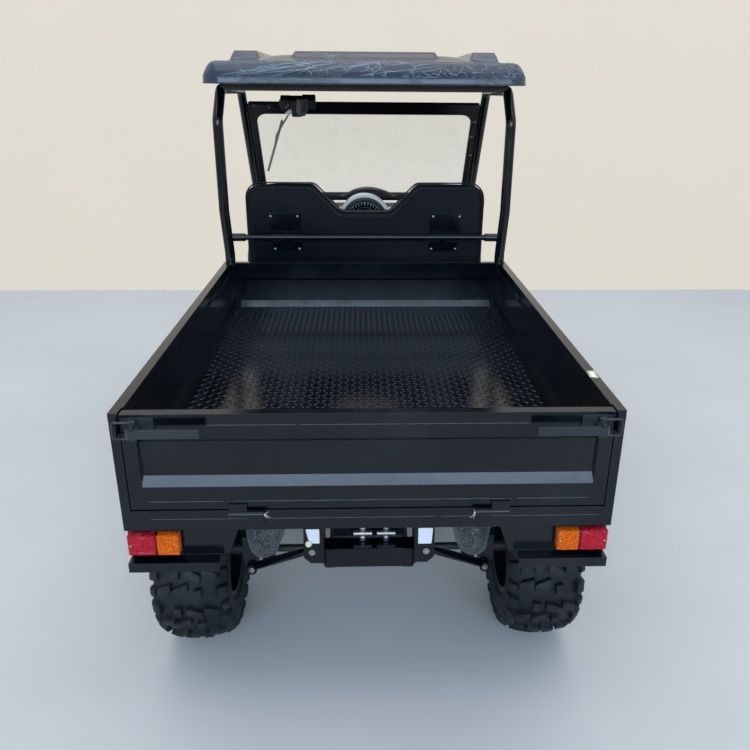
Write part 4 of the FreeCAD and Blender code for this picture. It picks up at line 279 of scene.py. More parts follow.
finishes = {
    "bed_paint": glossPaint("bedPaint", shade(0.0010, 0.0026, 0.0055), shade(0.10, 0.11, 0.12), 0.10),
    "frame_paint": glossPaint("framePaint", shade(0.0016, 0.0026, 0.0044), shade(0.10, 0.105, 0.11), 0.13),
    "chequer_plate": glossPaint("chequerPlate", shade(0.0012, 0.0030, 0.0062), shade(0.10, 0.11, 0.12), 0.11, 0.0),
    # black latch paint made lighter: a painted highlight on the handles
    "latch_paint": glossPaint("latchPaint", shade(0.0180, 0.0230, 0.0300), shade(0.12, 0.12, 0.12), 0.20, 0.001),
    "lamp_red": lensFinish("lampRed", shade(0.36, 0.001, 0.012), shade(0.62, 0.006, 0.030), 210),
    "lamp_amber": lensFinish("lampAmber", shade(0.62, 0.055, 0.0), shade(0.98, 0.24, 0.0), 260),
    "lamp_clear": clearGlass("lampClear", shade(0.86, 0.88, 0.9), 0.28),
    "drive_metal": satinMetal("driveMetal", shade(0.055, 0.055, 0.06), 0.45, 0.6),
    "battery_case": grainedPlastic("batteryCase", shade(0.03, 0.031, 0.034), 0.5),
    "shock_steel": satinMetal("shockSteel", shade(0.035, 0.036, 0.04), 0.3, 0.7),
    "stud_zinc": satinMetal("zincSteel", shade(0.42, 0.42, 0.42), 0.30, 0.9),
    "shock_wrap": wrapFinish("shockWrap"),
    "tyre": tyreRubber("tyreRubber"),
    "rim_paint": glossPaint("rimPaint", shade(0.0040, 0.0045, 0.0055), shade(0.10, 0.10, 0.10), 0.28),
    "glass": clearGlass("windshieldGlass", shade(0.80, 0.86, 0.85), 0.10),
    "roof_plastic": filmedRoof("filmedRoof"),
    "seat_vinyl": vinylFinish("seatVinyl", shade(0.0022, 0.0036, 0.0062), 0.36),
    "trim_black": grainedPlastic("trimBlack", shade(0.0050, 0.0060, 0.0075), 0.40),
    "pedal_rubber": grainedPlastic("pedalRubber", shade(0.014, 0.014, 0.014), 0.7, 300, 0.0008),
    "body_white": smoothPlastic("bodyWhite", shade(0.82, 0.83, 0.81), 0.20),
    "silver_tape": satinMetal("silverTape", shade(0.36, 0.37, 0.39), 0.35, 0.5, 60),
    "wire": grainedPlastic("wireSheath", shade(0.006, 0.006, 0.007), 0.4),
    "pale_cap": smoothPlastic("paleCap", shade(0.72, 0.72, 0.48), 0.4),
    "label": smoothPlastic("blankLabel", shade(0.74, 0.76, 0.80), 0.35, coat=0.5),
    "note": smoothPlastic("blankNote", shade(0.80, 0.82, 0.58), 0.6, coat=0.0),
    "dark_tape": satinMetal("darkTape", shade(0.09, 0.095, 0.105), 0.32, 0.5, 60),
    "reflector": satinMetal("reflector", shade(0.74, 0.75, 0.77), 0.10, 0.95, 60),
    # lighter than the bed paint: a painted highlight along the pressed seams
    "seam": glossPaint("pressedSeam", shade(0.050, 0.062, 0.080), shade(0.12, 0.13, 0.15), 0.20, 0.0004),
    "film": smoothPlastic("tornFilm", shade(0.66, 0.67, 0.68), 0.35, coat=0.2),
    # pale colour of the clear film's folds: a painted highlight along them
    "fold": smoothPlastic("filmFold", shade(0.33, 0.41, 0.52), 0.22, coat=0.3),
    "copper": satinMetal("copperPost", shade(0.52, 0.23, 0.10), 0.3, 0.9, 90),
    "dial": dialFinish("gaugeDial", (0.0, 1.018, 1.050), 0.118),
}
print("finishes", len(finishes))


# Meshes
def setFinish(piece, slot, finish=None):
    piece.data.materials.clear()
    piece.data.materials.append(finishes[finish or slot])


# Faces are smooth, edges sharper than the angle stay sharp
def newPiece(name, mesh, slot, body, finish=None, smooth=40.0):
    piece = bpy.data.objects.new(name, mesh)
    scene.collection.objects.link(piece)
    setFinish(piece, slot, finish)
    for face in mesh.polygons:
        face.use_smooth = True
    if smooth:
        sharpen(mesh, smooth)
    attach(piece, body)
    return piece


def sharpen(mesh, angle):
    shape = bmesh.new()
    shape.from_mesh(mesh)
    for edge in shape.edges:
        if len(edge.link_faces) == 2:
            edge.smooth = edge.calc_face_angle(math.pi) < math.radians(angle)
    shape.to_mesh(mesh)
    shape.free()


def closeMesh(shape, name):
    bmesh.ops.remove_doubles(shape, verts=shape.verts, dist=1e-6)
    bmesh.ops.recalc_face_normals(shape, faces=shape.faces)
    mesh = bpy.data.meshes.new(name)
    shape.to_mesh(mesh)
    shape.free()
    return mesh


def shaped(name, shape, slot, body, finish=None, smooth=40.0):
    return newPiece(name, closeMesh(shape, name), slot, body, finish, smooth)


# Joins rings of equal length; closed rings, closed ends
def loft(shape, rings, caps=True, loop=False, wrap=True):
    rows = [[shape.verts.new(spot) for spot in ring] for ring in rings]
    pairs = list(zip(rows, rows[1:] + rows[:1])) if loop else list(zip(rows, rows[1:]))
    for first, second in pairs:
        count = len(first)
        for i in range(count if wrap else count - 1):
            j = (i + 1) % count
            shape.faces.new([first[i], first[j], second[j], second[i]])
    if caps and not loop:
        shape.faces.new(rows[0])
        shape.faces.new(rows[-1])
    return rows


# A sheet of rows of spots; gives the vertices round its rim
def sheetRim(shape, spots):
    rows = loft(shape, spots, caps=False, wrap=False)
    return rows[0] + [row[-1] for row in rows[1:]] + rows[-1][-2::-1] + [row[0] for row in rows[-2:0:-1]]


# Carries a rim of vertices on to another ring
def band(shape, rim, spots):
    ring = [shape.verts.new(spot) for spot in spots]
    for i in range(len(rim)):
        j = (i + 1) % len(rim)
        shape.faces.new([rim[i], ring[i], ring[j], rim[j]])
    return ring


# Rounds the edges at some vertices
def soften(shape, verts, bevel, segments=2):
    edges = list(dict.fromkeys(edge for vert in verts for edge in vert.link_edges))
    bmesh.ops.bevel(shape, geom=edges, offset=bevel, segments=segments, affect="EDGES", profile=0.6)


# A box with rounded edges
def block(shape, low, high, bevel, segments=2):
    made = bmesh.ops.create_cube(shape, size=1.0)["verts"]
    for vert in made:
        vert.co = [low[i] if vert.co[i] < 0 else high[i] for i in range(3)]
    soften(shape, made, bevel, segments)


def angles(count, total=None):
    return [2 * math.pi * i / count for i in range(total or count)]


# An axis and two ways square to it
def crossWays(axis):
    axis = Vector(axis).normalized()
    side = axis.orthogonal().normalized()
    return axis, side, axis.cross(side)


# A turned shape from (place along, radius) pairs round an axis
def turned(shape, centre, axis, spots, sides=32):
    axis, side, other = crossWays(axis)
    loft(shape, [[Vector(centre) + axis * along + (side * math.cos(a) + other * math.sin(a)) * radius
                  for a in angles(sides)] for along, radius in spots])


# A ring turned round an axis, with a hole through it
def hoop(shape, centre, axis, spots, sides=48):
    axis, side, other = crossWays(axis)
    rings = []
    for a in angles(sides):
        way = side * math.cos(a) + other * math.sin(a)
        rings.append([Vector(centre) + axis * along + way * radius for along, radius in spots])
    loft(shape, rings, loop=True)


# A round bar along points
def bar(shape, points, radius, sides=12):
    points = [Vector(p) for p in points]
    rings = []
    side = None
    for i, spot in enumerate(points):
        ahead = (points[min(i + 1, len(points) - 1)] - points[max(i - 1, 0)]).normalized()
        side = ahead.orthogonal().normalized() if side is None else (side - ahead * side.dot(ahead)).normalized()
        other = ahead.cross(side)
        reach = radius[i] if isinstance(radius, (list, tuple)) else radius
        rings.append([spot + (side * math.cos(a) + other * math.sin(a)) * reach for a in angles(sides)])
    loft(shape, rings)


# Points of a smooth line through a few spots
def smoothLine(spots, steps=8):
    spots = [Vector(s) for s in spots]
    ends = [spots[0] * 2 - spots[1]] + spots + [spots[-1] * 2 - spots[-2]]
    line = []
    for a, b, c, d in zip(ends, ends[1:], ends[2:], ends[3:]):
        for i in range(steps):
            t = i / steps
            line.append(0.5 * (2 * b + (c - a) * t + (2 * a - 5 * b + 4 * c - d) * t ** 2
                               + (3 * b - a - 3 * c + d) * t ** 3))
    return line + [spots[-1]]


# An outline with rounded corners; corners are (a, b, radius)
def roundedOutline(corners, steps=6):
    outline = []
    count = len(corners)
    for i, (a, b, radius) in enumerate(corners):
        here = Vector((a, b))
        back = (Vector(corners[i - 1][:2]) - here).normalized()
        ahead = (Vector(corners[(i + 1) % count][:2]) - here).normalized()
        if radius <= 0:
            outline.append(here)
            continue
        half = math.acos(max(-1, min(1, back.dot(ahead)))) / 2
        reach = radius / math.tan(half)
        centre = here + (back + ahead).normalized() * (radius / math.sin(half))
        start = here + back * reach - centre
        end = here + ahead * reach - centre
        sweep = start.angle_signed(end)
        for k in range(steps + 1):
            turn = -sweep * k / steps
            outline.append(centre + Vector((start.x * math.cos(turn) - start.y * math.sin(turn),
                                            start.x * math.sin(turn) + start.y * math.cos(turn))))
    return outline


def roundedBox(low, high, radii, steps=6):
    corners = zip((low[0], high[0], high[0], low[0]), (low[1], low[1], high[1], high[1]),
                  radii if isinstance(radii, tuple) else (radii,) * 4)
    return roundedOutline(list(corners), steps)


# A flat outline stood up at a place along Y
def standing(outline, y):
    return [(p.x, y, p.y) for p in outline]


# A tree that repeats a template on points and gives it its finish
def repeatTree(name, sizes, arrange):
    tree = bpy.data.node_groups.new(name, "GeometryNodeTree")
    for label, kind in [("Geometry", "Geometry"), ("Template", "Object")] + sizes + [("Finish", "Material")]:
        tree.interface.new_socket(label, in_out="INPUT", socket_type="NodeSocket" + kind)
    tree.interface.new_socket("Geometry", in_out="OUTPUT", socket_type="NodeSocketGeometry")
    graph = Graph(tree)
    start = graph.add("NodeGroupInput").socket.node
    given = {out.name: Field(graph, out) for out in start.outputs if out.name}
    points, turn = arrange(graph, given)
    template = graph.add("GeometryNodeObjectInfo", {}, {"Object": given["Template"]}, pick=4)
    placed = graph.add("GeometryNodeInstanceOnPoints", {}, {"Points": points, "Instance": template, "Rotation": turn})
    real = graph.add("GeometryNodeRealizeInstances", {}, [placed])
    painted = graph.add("GeometryNodeSetMaterial", {}, {"Geometry": real, "Material": given["Finish"]})
    graph.add("NodeGroupOutput", {}, [painted])
    return tree


# On given spots, each facing its own way
def onSpots(graph, given):
    facing = graph.add("GeometryNodeInputNamedAttribute", {"data_type": "FLOAT_VECTOR"}, {"Name": "facing"})
    return given["Geometry"], graph.add("FunctionNodeAlignRotationToVector", {"axis": "Z"}, {"Vector": facing})


# Round the X axis, turned by an equal pitch
def roundAxle(graph, given):
    line = graph.add("GeometryNodeMeshLine", {}, {"Count": given["Pitches"], "Offset": (0, 0, 0)})
    index = graph.add("GeometryNodeInputIndex")
    angle = (index + given["Shift"]) * (2 * math.pi) / given["Pitches"]
    return line, graph.add("ShaderNodeCombineXYZ", {}, [angle, 0.0, 0.0])


# In rows on a sheet, every second one turned
def onSheet(graph, given):
    grid = graph.add("GeometryNodeMeshGrid", {}, {
        "Size X": given["Width"], "Size Y": given["Length"], "Vertices X": given["Across"],
        "Vertices Y": given["Along"]})
    index = graph.add("GeometryNodeInputIndex")
    column = graph.add("ShaderNodeMath", {"operation": "FLOOR"}, [index / given["Along"]])
    row = index - column * given["Along"]
    odd = (column + row) % 2
    return grid, graph.add("ShaderNodeCombineXYZ", {}, [0.0, 0.0, (odd - 0.5) * (math.pi / 2)])


trees = {
    "spots": repeatTree("spotRepeats", [], onSpots),
    "round": repeatTree("roundRepeats", [("Pitches", "Int"), ("Shift", "Float")], roundAxle),
    "plate": repeatTree("chequerRepeats", [("Width", "Float"), ("Length", "Float"), ("Across", "Int"),
                                           ("Along", "Int")], onSheet),
}


# Runs a tree with a template and keeps the result as a plain mesh
def repeated(tree, build, finish, values, mesh=None):
    shape = bmesh.new()
    build(shape)
    template = bpy.data.objects.new("template", closeMesh(shape, "template"))
    holder = bpy.data.objects.new("holder", mesh or bpy.data.meshes.new("empty"))
    scene.collection.objects.link(template)
    scene.collection.objects.link(holder)
    modifier = holder.modifiers.new("repeats", "NODES")
    modifier.node_group = trees[tree]
    labels = {item.name: item.identifier for item in trees[tree].interface.items_tree if item.in_out == "INPUT"}
    for label, value in {"Template": template, "Finish": finishes[finish], **values}.items():
        modifier[labels[label]] = value
    holder.data.update()
    graph = bpy.context.evaluated_depsgraph_get()
    result = bpy.data.meshes.new_from_object(holder.evaluated_get(graph), depsgraph=graph)
    bpy.data.objects.remove(holder)
    bpy.data.objects.remove(template)
    return result


def moved(mesh, offset):
    mesh.transform(Matrix.Translation(offset))
    return mesh


# Like pieces on spots that face their own way
def repeatOnSpots(name, build, spots, slot, body, finish=None):
    mesh = bpy.data.meshes.new(name)
    mesh.from_pydata([spot for spot, facing in spots], [], [])
    layer = mesh.attributes.new("facing", "FLOAT_VECTOR", "POINT")
    for i, (spot, facing) in enumerate(spots):
        layer.data[i].vector = facing
    return newPiece(name, repeated("spots", build, finish or slot, {}, mesh), slot, body, finish)


# Washer, head and the screw's end, as shares of the height and the radius
def hexBolt(radius, height):
    parts = [(0, 20, [(0, 1.5), (0.25, 1.5)]), (0.25, 6, [(0, 1), (0.6, 1), (0.75, 0.85)]),
             (0.9, 12, [(0, 0.5), (0.35, 0.45)])]

    def build(shape):
        for foot, sides, spots in parts:
            turned(shape, (0, 0, height * foot), (0, 0, 1), [(height * a, radius * b) for a, b in spots], sides)
    return build


def roundScrew(radius, height):
    def build(shape):
        spots = [(0, radius)] + [(height * math.sin(a), radius * math.cos(a)) for a in (0.4, 0.8, 1.2)]
        turned(shape, (0, 0, 0), (0, 0, 1), spots, 14)
    return build


# CAD nodes keep their shape and get their finish
for row in frame["record"]["subparts"]:
    setFinish(nodes[row["node"]], row["material_slot"])
print("nodes dressed", len(nodes))


# Studio
studio = {"size": 60, "floor": shade(0.58, 0.58, 0.56), "floorStain": shade(0.50, 0.50, 0.49),
          "wall": shade(0.72, 0.69, 0.61), "wallPale": shade(0.80, 0.775, 0.70), "wallAhead": 3.32, "wallTall": 9,
          "skyLow": shade(0.80, 0.785, 0.76), "skyHigh": shade(0.70, 0.80, 0.95), "skyLight": 0.78}
softboxes = [
    # name, place, target, width and height, power, colour
    ("softboxBehind", (0, -9.5, 3.9), (0, 0, 0.9), (8.5, 3.2), 610, (0.54, 0.75, 1.0)),
    ("softboxAbove", (0, 0.2, 6.5), (0, 0, 0), (7, 7), 260, (1.0, 0.98, 0.95)),
]


def flatSheet(name, corners, material):
    mesh = bpy.data.meshes.new(name)
    mesh.from_pydata(corners, [], [(0, 1, 2, 3)])
    mesh.materials.append(material)
    sheet = bpy.data.objects.new(name, mesh)
    scene.collection.objects.link(sheet)
    return sheet


def makeFloor():
    f = Finish("floorPale")
    fine = f.noise(260, 3)
    stain = f.noise(1.1, 5, 0.6).ramp(0.35, 0.7)
    color = f.mix(fine * 0.25 + stain * 0.35, studio["floor"], studio["floorStain"])
    reach = studio["size"]
    corners = [(-reach, -reach, 0), (reach, -reach, 0), (reach, reach, 0), (-reach, reach, 0)]
    floor = flatSheet("floor", corners, f.done(color, 0.85))


# A pale wall behind the part; it gives no shade, and its back is clear
def makeBackdrop():
    f = Finish("wallPale")
    fine = f.noise(1.3, 4, 0.6)
    color = f.mix(f.axes()[2].ramp(0.0, 5.0) * 0.6 + fine * 0.3, studio["wall"], studio["wallPale"])
    glow = f.add("ShaderNodeEmission", {}, [color])
    clear = f.add("ShaderNodeBsdfTransparent")
    back = f.add("ShaderNodeNewGeometry", pick=6)
    shown = f.add("ShaderNodeMixShader", {}, [back, glow, clear])
    f.add("ShaderNodeOutputMaterial", {}, [shown])
    reach, y, top = studio["size"], studio["wallAhead"], studio["wallTall"]
    wall = flatSheet("backdrop", [(-reach, y, 0), (reach, y, 0), (reach, y, top), (-reach, y, top)], f.material)
    wall.visible_diffuse = False
    wall.visible_shadow = False


# A pale sky, seen at full strength and lighting a little less
def makeSky():
    world = bpy.data.worlds.new("paleSky")
    scene.world = world
    world.use_nodes = True
    world.node_tree.nodes.clear()
    g = Graph(world.node_tree)
    along = g.add("ShaderNodeTexCoord", pick=0)
    height = g.add("ShaderNodeSeparateXYZ", {}, [along], pick=2)
    sky = g.add("ShaderNodeMix", {"data_type": "RGBA"},
                {0: height.ramp(0.0, 0.6), 6: studio["skyLow"], 7: studio["skyHigh"]}, pick=2)
    paths = g.add("ShaderNodeLightPath").socket.node.outputs
    seen, glossy, through = (Field(g, paths[f"Is {kind} Ray"]) for kind in ("Camera", "Glossy", "Transmission"))
    strength = (seen + glossy + through).ramp(0.0, 1.0, studio["skyLight"], 1.0)
    light = g.add("ShaderNodeBackground", {}, [sky, strength])
    g.add("ShaderNodeOutputWorld", {}, [light])


def addSoftbox(name, spot, target, reach, power, color):
    lamp = bpy.data.lights.new(name, "AREA")
    lamp.shape = "RECTANGLE"
    lamp.size, lamp.size_y = reach
    lamp.energy = power
    lamp.color = color
    holder = bpy.data.objects.new(name, lamp)
    holder.location = spot
    holder.rotation_euler = (Vector(target) - Vector(spot)).to_track_quat("-Z", "Y").to_euler()
    scene.collection.objects.link(holder)


# The photograph's camera, in a 750 x 750 frame
camera = {"focal": 717.6, "middle": (385.4, 368.9), "yaw": 2.0, "pitch": 21.44, "roll": -0.45,
          "spot": (-0.020, -3.317, 1.80), "frame": 750, "film": 36}


def makeCamera():
    yaw, pitch, roll = (math.radians(camera[name]) for name in ("yaw", "pitch", "roll"))
    forward = Vector((math.sin(yaw) * math.cos(pitch), math.cos(yaw) * math.cos(pitch), -math.sin(pitch)))
    right = Vector((math.cos(yaw), -math.sin(yaw), 0))
    down = forward.cross(right)
    acrossWay = right * math.cos(roll) + down * math.sin(roll)
    downWay = down * math.cos(roll) - right * math.sin(roll)
    lens = bpy.data.cameras.new("photoCamera")
    wide = camera["frame"]
    lens.sensor_width = camera["film"]
    lens.lens = camera["focal"] / wide * camera["film"]
    lens.shift_x = (wide / 2 - camera["middle"][0]) / wide
    lens.shift_y = (camera["middle"][1] - wide / 2) / wide
    holder = bpy.data.objects.new("photoCamera", lens)
    turn = Matrix((acrossWay, -downWay, -forward)).transposed()
    holder.matrix_world = Matrix.Translation(camera["spot"]) @ turn.to_4x4()
    scene.collection.objects.link(holder)
    scene.camera = holder


makeFloor()
makeBackdrop()
makeSky()
for softbox in softboxes:
    addSoftbox(*softbox)
makeCamera()
scene.view_settings.view_transform = "Standard"
print("stage and camera")

# Tyres
tyre = {
    "sides": 96, "bead": 0.1505, "insideShare": 0.985, "insideDown": 0.0004, "widest": 9,
    # share of the way from bead to tread, share of the half width
    "section": [(0.0, 0.795), (0.05, 0.80), (0.09, 0.812), (0.12, 0.850), (0.17, 0.905), (0.18, 0.925), (0.20, 0.925),
                (0.28, 0.968), (0.37, 0.990), (0.38, 1.0), (0.40, 1.0), (0.41, 0.993), (0.50, 0.985), (0.62, 0.955),
                (0.72, 0.905), (0.80, 0.835), (0.87, 0.735), (0.925, 0.60), (0.965, 0.44), (0.99, 0.24), (1.0, 0.0)],
    "pitches": 13, "lugHigh": 0.0175, "lugRoot": 0.008, "bevel": 0.0024, "sharp": 0.6, "stations": 5,
    "endShare": 0.90, "topShare": 0.90, "footShare": 1.06, "topIn": 0.0003, "sideIn": 0.0008,
    "lugs": [
        # start and end across, shares of the half width; shift in pitches; slant; length round the wheel
        (-0.70, -0.385, 0.00, 0.46, 0.031), (-0.345, 0.03, 0.00, 0.46, 0.031),
        (0.385, 0.70, 0.50, -0.46, 0.031), (-0.03, 0.345, 0.50, -0.46, 0.031),
        (0.17, 0.36, 0.03, 0.10, 0.034), (-0.36, -0.17, 0.53, -0.10, 0.034),
        (0.715, 0.955, 0.08, -0.10, 0.046), (-0.955, -0.715, 0.58, 0.10, 0.046),
        (0.760, 0.950, 0.57, 0.05, 0.028), (-0.950, -0.760, 0.07, -0.05, 0.028),
    ],
}


# Radius of the carcass at a place across it, and the way out of it
def carcassAt(x, half, base):
    share = abs(x) / half
    for (low, wide), (high, narrow) in zip(tyre["section"][tyre["widest"]:], tyre["section"][tyre["widest"] + 1:]):
        if narrow <= share <= wide:
            break
    part = (wide - share) / max(1e-6, wide - narrow)
    radius = tyre["bead"] + (low + (high - low) * part) * (base - tyre["bead"])
    rise = (high - low) * (base - tyre["bead"])
    run = (wide - narrow) * half
    out = Vector((math.copysign(rise, x), run)).normalized()
    return radius, out


# One lug, as a strip that follows the carcass from a to b
def lugShape(a, b, slant, along, half, base, radius):
    edge = half - tyre["sideIn"]
    last = tyre["stations"] - 1
    foot = -tyre["lugRoot"], tyre["footShare"]
    top = tyre["lugHigh"], tyre["topShare"]

    def build(shape):
        rings = []
        for k in range(last + 1):
            u = (a + (b - a) * k / last) * half
            level, out = carcassAt(u, half, base)
            taper = tyre["endShare"] if k in (0, last) else 1.0
            shift = slant * (u - a * half)
            ring = []
            for side, high, share in ((-1, *foot), (1, *foot), (1, *top), (-1, *top)):
                y = shift + side * along / 2 * share * taper
                z = min(level + out.y * high, math.sqrt((radius - tyre["topIn"]) ** 2 - y * y))
                ring.append((max(-edge, min(edge, u + out.x * high)), y, z))
            rings.append(ring)
        loft(shape, rings)
        shape.normal_update()
        tops = {face for face in shape.faces
                if all(v.co.z > carcassAt(v.co.x * 0.97, half, base)[0] for v in face.verts)}
        edges = [edge for edge in shape.edges if edge.calc_face_angle(0) > tyre["sharp"]
                 and any(face in tops for face in edge.link_faces)]
        bmesh.ops.bevel(shape, geom=edges, offset=tyre["bevel"], segments=1, affect="EDGES", profile=0.6)
    return build


def makeTyre(suffix):
    node = "tyre_" + suffix
    low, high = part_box(node)
    half = (high.x - low.x) / 2
    radius = (high.z - low.z) / 2
    base = radius - tyre["lugHigh"]
    bead = tyre["bead"]
    spots = [(x * half, bead + share * (base - bead)) for share, x in tyre["section"]]
    spots += [(-x, r) for x, r in reversed(spots[:-1])]
    spots += [(x * tyre["insideShare"], r - tyre["insideDown"]) for x, r in (spots[-1], spots[0])]
    shape = bmesh.new()
    loft(shape, [[(x, r * math.cos(a), r * math.sin(a)) for a in angles(tyre["sides"])] for x, r in spots], loop=True)
    shapes = [closeMesh(shape, node)]
    for a, b, shift, slant, along in tyre["lugs"]:
        lug = lugShape(a, b, slant, along, half, base, radius)
        shapes.append(repeated("round", lug, "tyre", {"Pitches": tyre["pitches"], "Shift": shift}))
    whole = bmesh.new()
    for mesh in shapes:
        whole.from_mesh(mesh)
    mesh = bpy.data.meshes.new(node)
    whole.to_mesh(mesh)
    whole.free()
    piece = newPiece("tread_" + suffix, moved(mesh, (low + high) / 2), "tyre", "wheel_" + suffix, smooth=32)
    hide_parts(node)


wheels = ("rear_left", "rear_right", "front_left", "front_right")
for wheel in wheels:
    makeTyre(wheel)
print("tyres")

# Chequer plate on the bed floor
chequer = {"pitch": 0.0260, "margin": 0.014, "half": (0.0152, 0.0044), "sunk": 0.0006, "rise": 0.0021,
           "midHigh": 0.55, "midShare": 0.72, "topShare": 0.34}


def makeChequer():
    low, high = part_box("bed_floor")

    def lozenge(shape):
        long, wide = chequer["half"]
        levels = ((-chequer["sunk"], 1.0), (chequer["rise"] * chequer["midHigh"], chequer["midShare"]),
                  (chequer["rise"], chequer["topShare"]))
        loft(shape, [[(long * share * math.cos(i * math.pi / 4), wide * share * math.sin(i * math.pi / 4), level)
                      for i in range(8)] for level, share in levels])

    wide = high.x - low.x - chequer["margin"] * 2
    long = high.y - low.y - chequer["margin"] * 2
    values = {"Width": wide, "Length": long, "Across": round(wide / chequer["pitch"]),
              "Along": round(long / chequer["pitch"])}
    mesh = repeated("plate", lozenge, "chequer_plate", values)
    moved(mesh, ((low.x + high.x) / 2, (low.y + high.y) / 2, high.z))
    newPiece("chequerLozenges", mesh, "chequer_plate", "bed", smooth=30)


makeChequer()
print("chequer plate")

# Roof
roof = {"corner": 0.085, "flare": 0.003, "lip": 0.024, "shoulderIn": 0.060, "shoulderRise": 0.066, "shoulderBow": 2.2,
        "crownRise": 0.030, "crownStart": 0.03, "crownX": 0.330, "crownY": 0.210, "skin": 0.005,
        "ribs": [(0.0, 0.322), (0.5245, 0.066), (-0.5245, 0.066)],  # middle, half width
        "ribUnder": 0.001, "ribEdge": 0.016, "ribEnd": 0.165, "across": 132, "along": 96,
        "lipSteps": [(0.45, 0.25), (0.8, 0.7), (1.0, 1.0)],  # share of the lip, share of the flare
        # inset, level above the foot, corner radius
        "flange": [(0.004, 0.0, 0.081), (0.062, 0.0, 0.03), (0.062, 0.006, 0.03), (0.004, 0.006, 0.081)]}


def smoothShare(value, low, high):
    share = max(0.0, min(1.0, (value - low) / (high - low)))
    return share * share * (3 - 2 * share)


def roundedSpot(p, q, halfX, halfY, corner):
    x, y = abs(p) * halfX, abs(q) * halfY
    dx, dy = x - (halfX - corner), y - (halfY - corner)
    if dx > 0 and dy > 0:
        angle = math.pi / 4 * (dy / dx if dx >= dy else 2 - dx / dy)
        reach = max(dx, dy)
        x = halfX - corner + reach * math.cos(angle)
        y = halfY - corner + reach * math.sin(angle)
    return math.copysign(x, p), math.copysign(y, q)


def edgeDistance(x, y, halfX, halfY, corner):
    dx, dy = abs(x) - (halfX - corner), abs(y) - (halfY - corner)
    if dx > 0 and dy > 0:
        return corner - math.hypot(dx, dy)
    return min(halfX - abs(x), halfY - abs(y))


# Height of the roof's top over a place from its middle
def roofHeight():
    low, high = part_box("roof_shell")
    middle = (low + high) / 2
    halfX, halfY = (high.x - low.x) / 2, (high.y - low.y) / 2
    lipTop = low.z + roof["lip"]
    ribTop = high.z - roof["ribUnder"]
    start, end = roof["crownStart"], roof["ribEnd"]

    def height(x, y):
        inX, inY = halfX - abs(x), halfY - abs(y)
        share = min(1.0, max(0.0, edgeDistance(x, y, halfX, halfY, roof["corner"])) / roof["shoulderIn"])
        z = lipTop + roof["shoulderRise"] * (1 - (1 - share) ** roof["shoulderBow"])
        crown = smoothShare(inX, start, halfX - roof["crownX"]) * smoothShare(inY, start, roof["crownY"])
        z += roof["crownRise"] * crown
        endShare = smoothShare(inY, end - 0.05, end + 0.02)
        for place, half in roof["ribs"]:
            z += (ribTop - z) * smoothShare(half - abs(x - place), 0.0, roof["ribEdge"]) * endShare
        return z
    return height, middle, halfX, halfY, low.z


def makeRoof():
    height, middle, halfX, halfY, foot = roofHeight()
    across, along, flare = roof["across"], roof["along"], roof["flare"]
    shape = bmesh.new()
    rows = []
    for j in range(along + 1):
        places = [roundedSpot(i / across * 2 - 1, j / along * 2 - 1, halfX - flare, halfY - flare, roof["corner"])
                  for i in range(across + 1)]
        rows.append([(middle.x + x, middle.y + y, height(x, y)) for x, y in places])
    rim = sheetRim(shape, rows)
    places = [(vert.co.x - middle.x, vert.co.y - middle.y) for vert in rim]
    for down, out in roof["lipSteps"]:
        level = foot + roof["lip"] - roof["lip"] * down
        growX, growY = 1 + flare * out / halfX, 1 + flare * out / halfY
        rim = band(shape, rim, [(middle.x + x * growX, middle.y + y * growY, level) for x, y in places])
    skin = shaped("roofSkin", shape, "roof_plastic", "root", smooth=50)
    wall = skin.modifiers.new("wall", "SOLIDIFY")
    wall.thickness = roof["skin"]
    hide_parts("roof_shell")

    shape = bmesh.new()
    rings = []
    for inset, level, corner in roof["flange"]:
        outline = roundedBox((-halfX + inset, -halfY + inset), (halfX - inset, halfY - inset), corner, 8)
        rings.append([(middle.x + spot.x, middle.y + spot.y, foot + level) for spot in outline])
    loft(shape, rings, loop=True)
    flange = shaped("roofFlange", shape, "trim_black", "root")
    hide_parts("roof_shell")


makeRoof()
print("roof")

# Seats
seat = {"rearBoard": 0.004, "boardIn": 0.031, "shoulder": 0.080, "hump": 0.055, "notchTop": 0.239, "notchFoot": 0.112,
        "notchHigh": 1.245, "footCorner": 0.04, "start": 0.006, "soft": 0.022, "cap": 0.008,
        "freeFrom": 0.010, "keepIn": 0.001, "piping": 0.0035, "boardPiping": 0.0026,
        "edge": [(1.0, 0.0), (0.3, 0.3), (0.0, 1.0)],  # shares of "soft", inwards and along
        # way in from "boardIn" and way along Y; front from the pad's rear face, rear from the node's
        "boardFront": [(0.004, 0.004), (0.0, 0.001)], "boardRear": [(0.0, 0.0015), (0.002, 0.0)],
        "pipingIn": 0.001, "boardPipingAt": (0.003, 0.0005)}
cushion = {"start": 0.010, "cap": 0.014, "foot": 0.002, "radii": (0.010, 0.022, 0.040, 0.030), "endShare": 0.985,
           "ends": (-1, -0.99, 0.99, 1), "freeFrom": 0.012, "pipingRadii": (0.03, 0.03, 0.045, 0.045),
           "topPiping": (0.012, 0.016), "footPiping": (0.020, 0.006)}  # way along Z, way in
stuffing = {"voxel": 0.009, "quickVoxel": 0.012, "pressure": 4.0, "quality": 4, "frames": 20}


def backOutline(inset, low, high, steps=8):
    half = high.x - inset
    top = high.z - inset
    foot = low.z + inset
    notchTop = seat["notchTop"] + inset * 0.7
    notchFoot = seat["notchFoot"] + inset * 0.7
    notchHigh = seat["notchHigh"] - inset
    hump = seat["hump"] * 0.9
    right = [(half, foot, seat["footCorner"]), (half, top, seat["shoulder"] - inset), (notchTop, top, hump),
             (notchFoot, notchHigh, hump * 0.6)]
    left = [(-x, z, radius) for x, z, radius in reversed(right)]
    return roundedOutline(left[-1:] + right + left[:-1], steps)


def evaluated(holder):
    graph = bpy.context.evaluated_depsgraph_get()
    return bpy.data.meshes.new_from_object(holder.evaluated_get(graph), depsgraph=graph)


